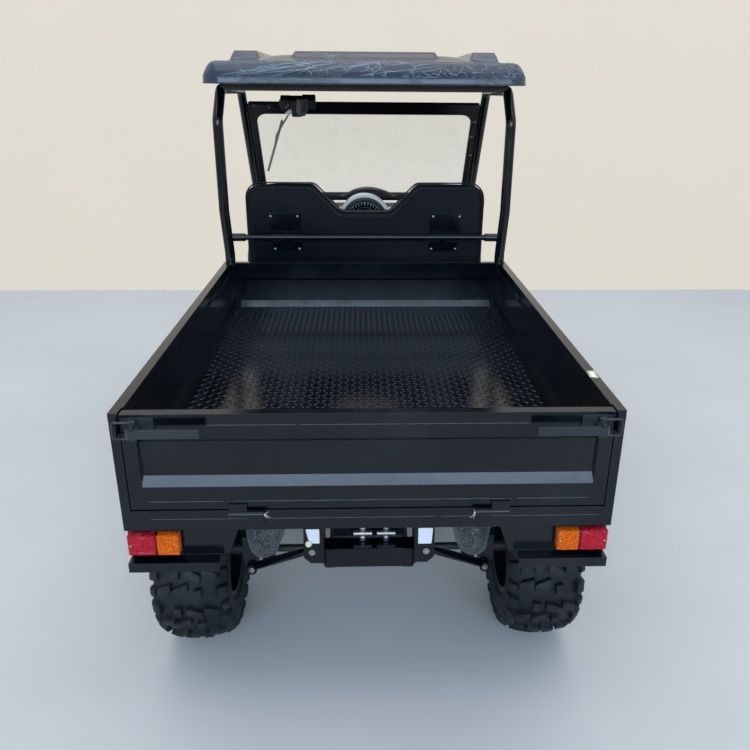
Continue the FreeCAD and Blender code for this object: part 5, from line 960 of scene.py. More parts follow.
# Swells a closed mesh a little, as stuffing does; vertices that fail the test stay
def puffed(name, shape, cap, free):
    holder = bpy.data.objects.new(name + "Block", closeMesh(shape, name + "Block"))
    scene.collection.objects.link(holder)
    grid = holder.modifiers.new("even", "REMESH")
    grid.mode = "VOXEL"
    grid.voxel_size = stuffing["voxel"]
    even = evaluated(holder)
    bpy.data.objects.remove(holder)
    holder = bpy.data.objects.new(name + "Cloth", even)
    scene.collection.objects.link(holder)
    start = [vert.co.copy() for vert in even.vertices]
    held = holder.vertex_groups.new(name="held")
    held.add([i for i, spot in enumerate(start) if not free(spot)], 1.0, "REPLACE")
    cloth = holder.modifiers.new("stuffing", "CLOTH")
    cloth.settings.use_pressure = True
    cloth.settings.uniform_pressure_force = stuffing["pressure"]
    cloth.settings.effector_weights.gravity = 0
    cloth.settings.vertex_group_mass = "held"
    cloth.settings.quality = stuffing["quality"]
    for i in range(stuffing["frames"]):
        scene.frame_set(i + 1)
    swollen = evaluated(holder)
    scene.frame_set(1)
    bpy.data.objects.remove(holder)
    for vert, spot in zip(swollen.vertices, start):
        push = vert.co - spot
        if push.length > cap:
            vert.co = spot + push * (cap / push.length)
    return swollen


def finer(piece):
    modifier = piece.modifiers.new("finer", "SUBSURF")
    modifier.levels = modifier.render_levels = 1


# A bar round a closed path
def piped(shape, path, radius):
    bar(shape, path + path[:2], radius, 8)


def makeSeatBack():
    low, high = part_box("seat_back")
    start, soft, edge = seat["start"], seat["soft"], seat["boardIn"]
    rear = low.y + seat["rearBoard"]
    front = high.y - start
    spots = [(start + soft * inset, rear + soft * along) for inset, along in seat["edge"]]
    spots += [(start + soft * inset, front - soft * along) for inset, along in reversed(seat["edge"])]
    shape = bmesh.new()
    loft(shape, [standing(backOutline(inset, low, high), y) for inset, y in spots])
    mesh = puffed("seatBack", shape, seat["cap"], lambda spot: spot.y > rear + seat["freeFrom"])
    for vert in mesh.vertices:
        vert.co.y = max(vert.co.y, low.y + seat["keepIn"])
    pad = newPiece("seatBackPad", mesh, "seat_vinyl", "root", smooth=0)
    finer(pad)
    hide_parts("seat_back")

    spots = [(edge + inset, rear + along) for inset, along in seat["boardFront"]]
    spots += [(edge + inset, low.y + along) for inset, along in seat["boardRear"]]
    shape = bmesh.new()
    loft(shape, [standing(backOutline(inset, low, high, 12), y) for inset, y in spots])
    board = shaped("seatBackBoard", shape, "seat_vinyl", "root", smooth=30)
    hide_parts("seat_back")

    shape = bmesh.new()
    out, back = seat["boardPipingAt"]
    for inset, y, radius in ((start + seat["pipingIn"], front - soft, seat["piping"]),
                             (edge - out, rear - back, seat["boardPiping"])):
        piped(shape, standing(backOutline(inset, low, high, 12), y), radius)
    shaped("seatBackPiping", shape, "seat_vinyl", "root")


def makeCushion():
    low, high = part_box("seat_cushion")
    start = cushion["start"]
    outline = roundedBox((low.y + start, low.z + cushion["foot"]), (high.y - start, high.z - start), cushion["radii"])
    middle = Vector(((low.y + high.y) / 2, (low.z + high.z) / 2))
    rings = []
    for x in cushion["ends"]:
        share = cushion["endShare"] if abs(x) == 1 else 1.0
        rings.append([((high.x - start) * x, middle.x + (p.x - middle.x) * share, middle.y + (p.y - middle.y) * share)
                      for p in outline])
    shape = bmesh.new()
    loft(shape, rings)
    mesh = puffed("cushion", shape, cushion["cap"], lambda spot: spot.z > low.z + cushion["freeFrom"])
    pad = newPiece("seatCushionPad", mesh, "seat_vinyl", "root", smooth=0)
    finer(pad)
    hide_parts("seat_cushion")
    shape = bmesh.new()
    (down, topIn), (up, footIn) = cushion["topPiping"], cushion["footPiping"]
    for level, inset in ((high.z - down, topIn), (low.z + up, footIn)):
        half = high.x - inset
        outline = roundedBox((-half, low.y + inset), (half, high.y - inset), cushion["pipingRadii"], 8)
        piped(shape, [(p.x, p.y, level) for p in outline], seat["piping"])
    shaped("seatCushionPiping", shape, "seat_vinyl", "root")


makeSeatBack()
makeCushion()
print("seats")

# Tail lamps
lamps = {"foot": 0.5750, "redIn": 0.595, "amberOut": 0.5947, "amberIn": 0.530, "base": 0.009, "corner": 0.005,
         "gap": 0.0012, "rib": 0.0011, "steps": 44, "edge": 0.12, "edgeDeep": 0.004, "flat": 0.05, "rim": 0.002,
         "ribs": (420, 0.6), "cells": (700, 1.4),  # radians per metre, share of "rib"
         "divider": (0.0014, 0.006, 0.001), "screw": (0.0032, 0.0016), "screwIn": 0.010}


# A lens whose rear face carries pressed ribs or round cells
def lensShape(shape, lowX, highX, low, high, relief):
    steps = lamps["steps"]
    middleX, middleZ = (lowX + highX) / 2, (low.z + high.z) / 2
    rows = []
    for j in range(steps + 1):
        row = []
        for i in range(steps + 1):
            p, q = i / steps * 2 - 1, j / steps * 2 - 1
            x, z = roundedSpot(p, q, (highX - lowX) / 2, (high.z - low.z) / 2, lamps["corner"])
            d = min(1 - abs(p), 1 - abs(q))
            bow = lamps["edgeDeep"] * (1 - min(1.0, d / lamps["edge"])) ** 2
            lift = relief(x, z) * lamps["rib"] if d > lamps["flat"] else 0.0
            row.append((middleX + x, low.y + lamps["gap"] + bow - lift, middleZ + z))
        rows.append(row)
    rim = sheetRim(shape, rows)
    back = band(shape, rim, [(vert.co.x, high.y - lamps["base"], vert.co.z) for vert in rim])
    shape.faces.new(back)


def makeLamps():
    low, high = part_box("tail_lamps_red")
    low = Vector((low.x, low.y, lamps["foot"]))
    (ribs, ribHigh), (cells, cellHigh) = lamps["ribs"], lamps["cells"]
    parts = [
        # name, slot, node, inner x, outer x, relief
        ("lampRed", "lamp_red", "tail_lamps_red", lamps["redIn"], high.x,
         lambda x, z: abs(math.sin(x * ribs)) * ribHigh + abs(math.sin(z * ribs)) * ribHigh),
        ("lampAmber", "lamp_amber", "tail_lamps_amber", lamps["amberIn"], lamps["amberOut"],
         lambda x, z: max(0.0, math.sin(x * cells) * math.sin(z * cells)) * cellHigh),
    ]
    for name, slot, node, inner, outer, relief in parts:
        shape = bmesh.new()
        for side in (-1, 1):
            a, b = sorted((side * inner, side * outer))
            lensShape(shape, a + lamps["gap"], b - lamps["gap"], low, high, relief)
        lens = shaped(name, shape, slot, "bed", smooth=50)
        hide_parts(node)
    shape = bmesh.new()
    rim, spots = lamps["rim"], []
    wide, back, inset = lamps["divider"]
    for side in (-1, 1):
        a, b = sorted((side * lamps["amberIn"], side * high.x))
        block(shape, (a - rim, high.y - lamps["base"], low.z), (b, high.y, high.z), rim)
        x = side * lamps["redIn"]
        block(shape, (x - wide, low.y + back, low.z + inset), (x + wide, high.y - rim, high.z - inset), 0.0005, 1)
        for x in (side * (lamps["amberIn"] + lamps["screwIn"]), side * (high.x - lamps["screwIn"])):
            spots.append(((x, low.y + 0.0005, (low.z + high.z) / 2), (0, -1, 0)))
    shaped("lampBase", shape, "trim_black", "bed", smooth=35)
    repeatOnSpots("lampScrews", roundScrew(*lamps["screw"]), spots, "stud_zinc", "bed")


makeLamps()
print("tail lamps")

# Small rear parts
gear = {"ribPitch": 0.027, "ribs": 8, "rib": 0.004, "ribIn": 0.0035, "caseIn": 0.007,
        "flange": 0.007, "flangeIn": 0.002, "slope": (0.125, 0.090), "endIn": 0.014, "hub": (0.03, 0.310),
        "bolt": (0.0042, 0.0034), "boltX": 0.0135, "boltsIn": (0.07, 0.06, 0.05, 0.05, 0.04),
        "hubTurn": [(-0.004, 0.075), (0.006, 0.072), (0.008, 0.050), (0.0135, 0.046)]}


# A closed outline in Y and Z drawn out along X, its edges rounded
def slab(shape, outline, low, high, bevel):
    first, last = loft(shape, [[(x, y, z) for y, z in outline] for x in (low, high)])
    soften(shape, first + last, bevel)


def shrunk(outline, by):
    middle = [sum(spot[i] for spot in outline) / len(outline) for i in (0, 1)]
    result = []
    for spot in outline:
        away = [spot[i] - middle[i] for i in (0, 1)]
        result.append(tuple(spot[i] - math.copysign(min(by, abs(away[i])), away[i]) for i in (0, 1)))
    return result


def makeTransaxle():
    low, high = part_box("transaxle")
    long, tall = gear["slope"]
    outer = [(low.y, low.z + tall), (low.y + long, low.z), (high.y, low.z), (high.y, high.z), (low.y, high.z)]
    inside = gear["ribIn"]
    shape = bmesh.new()
    slab(shape, shrunk(outer, gear["caseIn"]), low.x + gear["endIn"], high.x - gear["endIn"], 0.010)
    slab(shape, shrunk(outer, gear["flangeIn"]), -gear["flange"], gear["flange"], 0.002)
    for side in (-1, 1):
        spot = (side * (high.x - gear["endIn"]), (low.y + high.y) / 2 + gear["hub"][0], gear["hub"][1])
        turned(shape, spot, (side, 0, 0), gear["hubTurn"], 36)
    for row in range(gear["ribs"]):
        x = (row - (gear["ribs"] - 1) / 2) * gear["ribPitch"]
        slab(shape, shrunk(outer, inside), x - gear["rib"] / 2, x + gear["rib"] / 2, 0.0012)
    piece = shaped("transaxleCase", shape, "drive_metal", "root", smooth=35)
    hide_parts("transaxle")
    topRear, topFront, frontTop, frontFoot, rearTop = gear["boltsIn"]
    places = [(low.y + topRear, high.z - inside, (0, 0, 1)), (high.y - topFront, high.z - inside, (0, 0, 1)),
              (high.y - inside, high.z - frontTop, (0, 1, 0)), (high.y - inside, low.z + frontFoot, (0, 1, 0)),
              (low.y + inside, high.z - rearTop, (0, -1, 0))]
    spots = [((side * gear["boltX"], y, z), way) for y, z, way in places for side in (-1, 1)]
    repeatOnSpots("transaxleBolts", hexBolt(*gear["bolt"]), spots, "stud_zinc", "root")


makeTransaxle()

crossbar = {"webRear": -1.400, "webFoot": 0.360, "webRise": 0.3885, "foot": 0.345, "top": 0.414, "rear": -1.375,
            "front": -1.315, "capX": (0.111, 0.1412), "cap": 0.0014, "studX": (-0.0205, 0.0565), "studY": -1.323,
            "ballUp": (0.0105, 0.0465), "ball": 0.0092, "ballFlat": 0.62, "ballMiddle": 0.0063,
            "hex": 0.0105, "hexes": [(0.4145, 0.0022), (0.4700, 0.0030)]}  # foot and height of the flat nuts


def makeCrossbarParts():
    shape = bmesh.new()  # the end webs rise to the bracket plates
    shape.from_mesh(nodes["rear_crossbar"].data)
    bmesh.ops.remove_doubles(shape, verts=shape.verts, dist=1e-6)
    for vert in shape.verts:
        if vert.co.y < crossbar["webRear"] and vert.co.z < crossbar["webFoot"]:
            vert.co.z = crossbar["webRise"]
    body = shaped("crossbarBody", shape, "frame_paint", "root", smooth=30)
    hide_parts("rear_crossbar")
    foot, top, rear, front = (crossbar[name] for name in ("foot", "top", "rear", "front"))
    thick, lap = crossbar["cap"], 0.002
    shape = bmesh.new()
    for side in (-1, 1):
        a, b = sorted(side * x for x in crossbar["capX"])
        for y, z, frontY, topZ in ((rear - thick, foot - thick, rear + lap, top + thick),
                                   (rear - thick, top - lap, front + thick, top + thick),
                                   (rear - thick, foot - thick, front + thick, foot + lap)):
            block(shape, (a, y, z), (b, frontY, topZ), 0.0006, 1)
    shaped("crossbarCaps", shape, "frame_paint", "root", smooth=30)
    shape = bmesh.new()
    ball, middle = crossbar["ball"], crossbar["ballMiddle"]
    profile = [(ball * math.sin(math.radians(k)), middle + ball * crossbar["ballFlat"] * math.cos(math.radians(k)))
               for k in (-80, -50, -20, 0, 20, 50, 80)]
    for x in crossbar["studX"]:
        for up in crossbar["ballUp"]:
            turned(shape, (x, crossbar["studY"], top + up), (0, 0, 1), profile, 20)
        for z, high in crossbar["hexes"]:
            turned(shape, (x, crossbar["studY"], z), (0, 0, 1), [(0, crossbar["hex"]), (high, crossbar["hex"])], 6)
    shaped("studNuts", shape, "stud_zinc", "root", smooth=35)


makeCrossbarParts()

stickers = {
    # corners on the bracket's rear face, clockwise from the upper left
    "labels": [[(-0.199, 0.5165), (-0.156, 0.5165), (-0.156, 0.4640), (-0.188, 0.4640)],
               [(0.154, 0.5165), (0.2000, 0.5165), (0.1965, 0.4585), (0.154, 0.4585)]],
    "rear": -1.4133, "corner": 0.003, "thick": 0.0006, "sunk": 0.0001, "cap": (-0.1905, 0.4640),
    "capTurn": [(-0.004, 0.0105), (0.004, 0.0108), (0.0075, 0.0095), (0.009, 0.006)],
    "notePlace": (0.6600, -1.372), "noteSize": (0.026, 0.050), "noteLevel": 1.0153, "notePaper": 0.0004,
}


# The curled note on the bed's rail, from shares across and along it
def noteSpot(u, v):
    (x, y), (wide, long) = stickers["notePlace"], stickers["noteSize"]
    curl = 0.003 * max(0.0, v - 0.25) * 4 * (0.6 + u)
    lift = stickers["notePaper"] + curl + 0.0005 * math.sin(7 * u + 5 * v)
    return x + u * wide + 0.004 * v, y + v * long - 0.006 * u, stickers["noteLevel"] + lift


def makeStickers():
    y = stickers["rear"]
    shape = bmesh.new()
    for corners in stickers["labels"]:
        outline = roundedOutline([(x, z, stickers["corner"]) for x, z in corners], 3)
        loft(shape, [standing(outline, y - stickers["sunk"]), standing(outline, y - stickers["thick"])])
    shaped("bracketLabels", shape, "pedal_rubber", "root", "label", 30)
    shape = bmesh.new()
    x, z = stickers["cap"]
    turned(shape, (x, y, z), (0.1, -1, 0.2), stickers["capTurn"], 20)
    shaped("breatherCap", shape, "pedal_rubber", "root", "pale_cap", 40)
    shape = bmesh.new()
    rows = [[noteSpot(i / 3 - 0.5, j / 6 - 0.5) for i in range(4)] for j in range(7)]
    loft(shape, rows, caps=False, wrap=False)
    note = shaped("railNote", shape, "pedal_rubber", "bed", "note", 60)
    wall = note.modifiers.new("paper", "SOLIDIFY")
    wall.thickness = stickers["notePaper"]


makeStickers()

rearBolts = {
    # name: radius and height, finish slot, body, way, places with X to be mirrored
    "bracketBolts": ((0.0070, 0.0068), "stud_zinc", "root", [((0.1806, -1.4133, 0.4300), (0, -1, 0))]),
    "armBolts": ((0.0068, 0.0065), "stud_zinc", "root",
                 [((0.400, -1.192 + way * 0.0820, 0.260), (0, way, 0)) for way in (-1, 1)]),
    "guardBolts": ((0.0042, 0.0036), "frame_paint", "bed",
                   [((x, -1.589, z), (0, -1, 0)) for x, z in ((0.425, 0.636), (0.500, 0.636), (0.425, 0.585))]),
}


def mirrored(places):
    return [((side * x, y, z), way) for side in (-1, 1) for (x, y, z), way in places]


def makeRearBolts():
    for name, (size, slot, body, places) in rearBolts.items():
        repeatOnSpots(name, hexBolt(*size), mirrored(places), slot, body)


makeRearBolts()

hems = {
    # height, spans along X, radius; one row per raised seam on the rear face
    "gate": [(0.9805, [(-0.425, -0.19), (-0.183, 0.088), (0.094, 0.425)], 0.0012),
             (0.7520, [(-0.600, -0.395), (-0.388, 0.392), (0.400, 0.600)], 0.0012)],
    "sill": [(0.6965, [(-0.600, -0.330), (-0.318, 0.180), (0.192, 0.640)], 0.0011)],
    "face": -1.6250, "steps": 24, "wander": 0.0006,
    # dark weld at the ends of the gate's ledge and the recess: place, then height and radius
    "weld": (0.6105, -1.6145),
    "beads": [(0.800, 0.0030), (0.812, 0.0042), (0.826, 0.0036), (0.850, 0.0026), (0.880, 0.0026), (0.905, 0.0024),
              (0.926, 0.0016)],
}


# A seam that wanders and swells a little
def seam(shape, a, b, z, radius):
    steps = hems["steps"]
    points, radii = [], []
    for i in range(steps + 1):
        points.append((a + (b - a) * i / steps, hems["face"], z + hems["wander"] * math.sin(i * 2.1 + a * 30)))
        radii.append(radius * (0.85 + 0.15 * math.sin(i * 1.7)) if 0 < i < steps else radius * 0.3)
    bar(shape, points, radii, 8)


def makeHems():
    for name, body in (("gate", "tailgate"), ("sill", "bed")):
        shape = bmesh.new()
        for z, spans, radius in hems[name]:
            for a, b in spans:
                seam(shape, a, b, z, radius)
        # the hems take the lighter seam finish, a painted highlight along each raised seam
        shaped(name + "Hem", shape, "bed_paint", body, "seam", 60)
    shape = bmesh.new()
    x, y = hems["weld"]
    for side in (-1, 1):
        bar(shape, [(side * x, y, z) for z, radius in hems["beads"]], [radius for z, radius in hems["beads"]], 10)
    shaped("ledgeWelds", shape, "bed_paint", "tailgate", smooth=60)


makeHems()

# Scraps of torn film at the hinge barrels' inner ends
scraps = {"seed": 11, "each": 4, "start": (0.2870, -1.6440, 0.7185), "step": 0.0072, "wave": 0.0022, "thick": 0.0011}


def makeFilmScraps():
    source = random.Random(scraps["seed"])
    radii = [scraps["thick"] * (1 - 0.06 * j) for j in range(13)]
    shape = bmesh.new()
    for side in (-1, 1):
        x, y, z = scraps["start"]
        for k in range(scraps["each"]):
            way = Vector((-side * source.uniform(0.2, 1.0), -source.uniform(0.1, 0.4), source.uniform(-0.9, 0.9)))
            spots = [Vector((side * x, y, z)) + way * (scraps["step"] * j)
                     + Vector((0, 0, scraps["wave"] * math.sin(j * 1.9 + k))) for j in range(4)]
            bar(shape, smoothLine(spots, 4), radii, 6)
    shaped("hingeFilm", shape, "bed_paint", "tailgate", "film", 60)


makeFilmScraps()

# The wrap's axis lies a little outside the shock's
wrap = {"seed": 5, "topX": 0.325 + 0.014, "footX": 0.342 + 0.014 * 1.3, "y": -1.242, "topZ": 0.552, "footZ": 0.304,
        "folds": 5, "foldDeep": 0.030, "sides": 40, "rows": 30, "thick": 0.0012, "flare": (0.070, 0.55),
        "waist": 0.033, "belly": 0.010, "gather": 0.93, "gatherBy": 0.62, "tie": 0.0365, "tieBar": 0.0016}


def wrapEnds(side):
    return [Vector((side * wrap[end + "X"], wrap["y"], wrap[end + "Z"])) for end in ("top", "foot")]


# Folded wrap round each rear shock, wide at the top and gathered at the foot
def makeShockWraps():
    source = random.Random(wrap["seed"])
    flare, power = wrap["flare"]
    for side, suffix in ((-1, "Left"), (1, "Right")):
        top, foot = wrapEnds(side)
        axis = (foot - top).normalized()
        across = Vector((1, 0, 0))
        across = (across - axis * across.dot(axis)).normalized()
        along = axis.cross(across)
        folds = [(source.randint(3, 11), source.uniform(0, 6.28), source.uniform(0.3, 1.0))
                 for _ in range(wrap["folds"])]
        rings = []
        for j in range(wrap["rows"] + 1):
            t = j / wrap["rows"]
            radius = flare * (1 - t) ** power * power + wrap["waist"] + wrap["belly"] * math.sin(t * math.pi)
            if t > wrap["gather"]:
                radius *= 1 - ((t - wrap["gather"]) / (1 - wrap["gather"])) ** 2 * wrap["gatherBy"]
            ring = []
            for a in angles(wrap["sides"]):
                fold = sum(amount * math.sin(count * a + phase + t * (3 + count * 0.6))
                           for count, phase, amount in folds)
                reach = radius * (1 + wrap["foldDeep"] * fold * (0.4 + 0.9 * math.sin(t * 2.6)))
                ring.append(top.lerp(foot, t) + (across * math.cos(a) + along * math.sin(a)) * reach)
            rings.append(ring)
        shape = bmesh.new()
        loft(shape, rings, caps=False)
        area = sum(face.calc_area() for face in shape.faces)
        piece = shaped("shockWrap" + suffix, shape, "shock_wrap", "root", smooth=80)
        wall = piece.modifiers.new("film", "SOLIDIFY")
        wall.thickness = wrap["thick"]
        finer(piece)
        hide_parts("shock_sleeves")
        long = (foot - top).length
        area / long
    shape = bmesh.new()  # ties round the wraps
    for side in (-1, 1):
        top, foot = wrapEnds(side)
        spot = top.lerp(foot, wrap["gather"])
        bar(shape, [spot + Vector((math.cos(a), math.sin(a), 0)) * wrap["tie"] for a in angles(32, 34)],
            wrap["tieBar"], 6)
    shaped("wrapTies", shape, "trim_black", "root", smooth=60)


makeShockWraps()

latch = {"screwX": (0.568, 0.612), "screwZ": (0.986, 0.960), "screwY": -1.6285, "screw": (0.0042, 0.0026),
         # pressed rib on the handle, and the pin at its foot
         "rib": [(0.452, 0.9705), (0.560, 0.9685), (0.560, 0.9815), (0.452, 0.9795)], "corner": 0.003, "ribOut": 0.0003,
         "ribHigh": 0.0010, "pin": (0.606, 0.975), "pinIn": 0.006, "pinSize": (0.019, 0.0040)}


def makeLatchParts():
    low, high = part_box("tailgate_latches")
    places = [((x, latch["screwY"], z), (0, -1, 0)) for x in latch["screwX"] for z in latch["screwZ"]]
    repeatOnSpots("latchScrews", roundScrew(*latch["screw"]), mirrored(places), "stud_zinc", "tailgate", "latch_paint")
    outline = roundedOutline([(x, z, latch["corner"]) for x, z in latch["rib"]], 4)
    y = low.y + latch["ribOut"]
    half, radius = latch["pinSize"]
    shape = bmesh.new()
    for side in (-1, 1):
        loft(shape, [[(side * p.x, level, p.y) for p in outline] for level in (y + latch["ribHigh"], y)])
        turned(shape, (side * latch["pin"][0], low.y + latch["pinIn"], latch["pin"][1]), (0, 0, 1),
               [(-half, radius), (half, radius)], 16)
    shaped("latchRibs", shape, "latch_paint", "tailgate", smooth=40)


makeLatchParts()
print("rear parts")

# Seat screws
seatScrews = {"size": (0.0062, 0.0042), "y": 0.1712,
              "places": [(0.327, 1.219), (0.455, 1.219), (0.322, 1.062), (0.440, 1.062)]}


def makeSeatScrews():
    places = [((x, seatScrews["y"], z), (0, -1, 0)) for x, z in seatScrews["places"]]
    repeatOnSpots("seatScrews", roundScrew(*seatScrews["size"]), mirrored(places), "stud_zinc", "root")


makeSeatScrews()

# Windshield, drawn flat and leaned back as in the CAD
screen = {"foot": (1.2662, 1.144), "slope": 34.5, "half": 0.637, "tall": 0.6965, "glassHalf": 0.602, "rail": 0.050,
          "topRail": 0.066, "thick": 0.011, "edge": 0.0015, "outerRadii": (0.008, 0.008, 0.012, 0.012),
          "innerRadii": (0.024, 0.024, 0.060, 0.060),
          # the hump over the steering wheel: its line, foot, and inset with place along Y
          "hump": [(-0.150, 0.046), (-0.126, 0.050), (-0.102, 0.061), (-0.052, 0.091), (0.010, 0.1055), (0.071, 0.0985),
                   (0.127, 0.077), (0.168, 0.052), (0.190, 0.046)],
          "humpFoot": 0.040, "humpRings": [(0.003, -0.027), (0.0, -0.0245), (0.0, -0.0040)],
          "seal": ((-0.600, 0.052), (0.600, 0.6285), (0.022, 0.022, 0.058, 0.058)), "sealY": 0.0046, "sealBar": 0.0022}


def leaned(x, y, s):
    slope = math.radians(screen["slope"])
    return Vector((x, screen["foot"][0] + y * math.cos(slope) - s * math.sin(slope),
                   screen["foot"][1] + y * math.sin(slope) + s * math.cos(slope)))


def leanedPiece(name, shape, slot, finish=None, smooth=40.0):
    for vert in shape.verts:
        vert.co = leaned(*vert.co)
    return shaped(name, shape, slot, "root", finish, smooth)


def makeScreenFrame():
    half, tall, wide, rail = (screen[name] for name in ("half", "tall", "glassHalf", "rail"))
    thick, edge = screen["thick"], screen["edge"]
    top = tall - screen["topRail"]

    def outside(inset, y):
        outline = roundedBox((-half + inset, inset), (half - inset, tall - inset), screen["outerRadii"], 8)
        return standing(outline, y)

    def inside(grow, y):
        outline = roundedBox((-wide - grow, rail - grow), (wide + grow, top + grow), screen["innerRadii"], 8)
        return standing(outline, y)

    rings = [outside(edge, -thick), outside(0, edge - thick), outside(0, thick - edge), outside(edge, thick),
             inside(edge, thick), inside(0, thick - edge), inside(0, edge - thick), inside(edge, -thick)]
    shape = bmesh.new()
    loft(shape, rings, loop=True)
    piece = leanedPiece("screenFrame", shape, "frame_paint", smooth=35)
    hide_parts("windshield_frame")

    foot, line = screen["humpFoot"], screen["hump"]
    outline = [(p.x, p.y) for p in smoothLine([(x, s, 0) for x, s in line], 5)]
    outline = [(line[0][0], foot)] + outline + [(line[-1][0], foot)]
    shape = bmesh.new()
    loft(shape, [[(x * (1 - inset * 4), y, max(foot, s - inset)) for x, s in outline]
                 for inset, y in screen["humpRings"]])
    hump = leanedPiece("screenHump", shape, "frame_paint")
    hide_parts("windshield_frame")

    shape = bmesh.new()  # rubber round the glass, both sides
    for y in (-screen["sealY"], screen["sealY"]):
        path = standing(roundedBox(*screen["seal"], 8), y)
        bar(shape, path + path[:1], screen["sealBar"], 8)
    leanedPiece("screenSeal", shape, "pedal_rubber", smooth=60)


makeScreenFrame()

wiper = {
    # low corner, high corner, bevel
    "housing": [((-0.452, -0.066, 0.6985), (-0.398, -0.016, 0.7560), 0.006),
                ((-0.336, -0.070, 0.6985), (-0.263, -0.014, 0.7600), 0.007),
                ((-0.404, -0.058, 0.7300), (-0.330, -0.020, 0.7480), 0.004),
                ((-0.3028, -0.0725, 0.704), (-0.2972, -0.0690, 0.755), 0.001),
                ((-0.2858, -0.0725, 0.704), (-0.2802, -0.0690, 0.755), 0.001)],
    "knob": ((-0.452, -0.041, 0.724), (-1, 0, 0), [(-0.004, 0.019), (0.004, 0.018), (0.008, 0.011)]),
    "terminals": [((-0.424, -0.0685, 0.708), (-0.4155, -0.0655, 0.728), 0.0008),
                  ((-0.412, -0.0685, 0.718), (-0.4035, -0.0655, 0.738), 0.0008)],
    "plug": [((-0.013, -0.007, -0.020), (0.013, 0.007, 0.020), 0.002),
             ((-0.010, -0.005, 0.019), (0.010, 0.005, 0.027), 0.0015)],
    "plugRibs": [((x - 0.0016, -0.0082, -0.015), (x + 0.0016, -0.0065, 0.010), 0.0005) for x in (-0.006, 0.0, 0.006)],
    "plugTurn": 52, "plugPlace": (-0.412, -0.0195, 0.648),
    "nut": ((-0.391, 0.030, 0.6565), (0, 1, 0),
            [(-0.002, 0.0105), (0.0015, 0.0105), (0.0016, 0.0072), (0.007, 0.0068), (0.0075, 0.003)]),
    # leads clipped along the frame: spots and radius
    "leads": [
        ([(-0.634, -0.013, 0.640), (-0.632, -0.0145, 0.684), (-0.600, -0.0145, 0.6905), (-0.550, -0.0145, 0.6880),
          (-0.490, -0.0150, 0.6740), (-0.447, -0.0170, 0.6600), (-0.430, -0.0190, 0.6550)], 0.0030),
        ([(-0.396, -0.0190, 0.642), (-0.376, -0.0210, 0.630), (-0.360, -0.0300, 0.640), (-0.352, -0.0500, 0.668)],
         0.0030),
        ([(0.628, -0.0140, 0.060), (0.626, -0.0140, 0.200), (0.622, -0.0150, 0.330), (0.615, -0.0160, 0.420),
          (0.612, -0.0145, 0.500), (0.617, -0.0150, 0.570), (0.626, -0.0145, 0.625), (0.629, -0.0140, 0.670)], 0.0032),
        ([(0.620, -0.0140, 0.560), (0.610, -0.0185, 0.535), (0.606, -0.0200, 0.495), (0.613, -0.0175, 0.455),
          (0.620, -0.0145, 0.440)], 0.0018)],
    "topTies": [(-0.600, 0.6905), (-0.520, 0.6815)],
    "sideTies": [(0.6265, 0.150), (0.6215, 0.360), (0.6125, 0.490), (0.6195, 0.590)],
    "tieY": (-0.0192, -0.0112), "tie": 0.0022,
    "tail": [(-0.007, -0.0185, 0), (-0.012, -0.024, 0.004), (-0.015, -0.029, 0.011)],
    # tape round the motor's cable, whose middle shifts and whose width swells on the way up
    "tape": {"seed": 3, "rows": 12, "sides": 20, "foot": 0.664, "tall": 0.103, "x": -0.342, "shift": 0.013,
             "y": -0.068, "wave": 0.003, "wide": 0.021, "swell": 0.012, "uneven": 0.0018, "thin": 0.006, "deep": 0.014},
}


def blocks(shape, rows, segments=2):
    for low, high, bevel in rows:
        block(shape, low, high, bevel, segments)


# Tape round the motor's cable, wound unevenly
def tapeRings():
    tape = wiper["tape"]
    source = random.Random(tape["seed"])
    rings = []
    for j in range(tape["rows"] + 1):
        t = j / tape["rows"]
        wide = tape["wide"] + tape["swell"] * math.sin(t * 2.4) + tape["uneven"] * source.uniform(-1, 1)
        deep = tape["deep"] if 0.2 < t < 0.95 else tape["thin"]
        x, y = tape["x"] + tape["shift"] * t, tape["y"] - tape["wave"] * math.sin(t * 6)
        rings.append([(x + wide * math.cos(a) * (1 + 0.07 * math.sin(5 * a + j)),
                       y + deep * math.sin(a) * (1 + 0.12 * math.sin(4 * a + 2 * j)), tape["foot"] + tape["tall"] * t)
                      for a in angles(tape["sides"])])
    return rings


def makeWiperParts():
    shape = bmesh.new()
    blocks(shape, wiper["housing"])
    turned(shape, *wiper["knob"], 24)
    leanedPiece("wiperHousing", shape, "trim_black", smooth=35)
    shape = bmesh.new()
    blocks(shape, wiper["terminals"])
    leanedPiece("wiperTerminals", shape, "stud_zinc", "copper", 35)
    shape = bmesh.new()
    loft(shape, tapeRings())
    leanedPiece("wiperTape", shape, "stud_zinc", "dark_tape", 50)
    shape = bmesh.new()
    blocks(shape, wiper["plug"])
    blocks(shape, wiper["plugRibs"], 1)
    turn = Matrix.Rotation(math.radians(wiper["plugTurn"]), 3, "Y")
    for vert in shape.verts:
        vert.co = turn @ vert.co + Vector(wiper["plugPlace"])
    leanedPiece("wiperPlug", shape, "body_white", smooth=35)
    shape = bmesh.new()
    for spots, radius in wiper["leads"]:
        bar(shape, smoothLine(spots, 8), radius, 8)
    leanedPiece("screenLeads", shape, "trim_black", "wire", 60)
    shape = bmesh.new()
    (rear, front), half = wiper["tieY"], wiper["tie"]
    for x, s in wiper["topTies"]:
        block(shape, (x - half, rear, s - 0.008), (x + half, front, s + 0.004), 0.0008)
    for x, s in wiper["sideTies"]:
        block(shape, (x - 0.0075, rear, s - half), (x + 0.0075, front, s + half), 0.0008)
        bar(shape, [(x + across, y, s + up) for across, y, up in wiper["tail"]], 0.0010, 6)
    leanedPiece("leadTies", shape, "stud_zinc", "silver_tape", 40)
    shape = bmesh.new()  # washer and nut of the arm, outside
    turned(shape, *wiper["nut"], 20)
    leanedPiece("wiperNut", shape, "stud_zinc", smooth=35)


makeWiperParts()

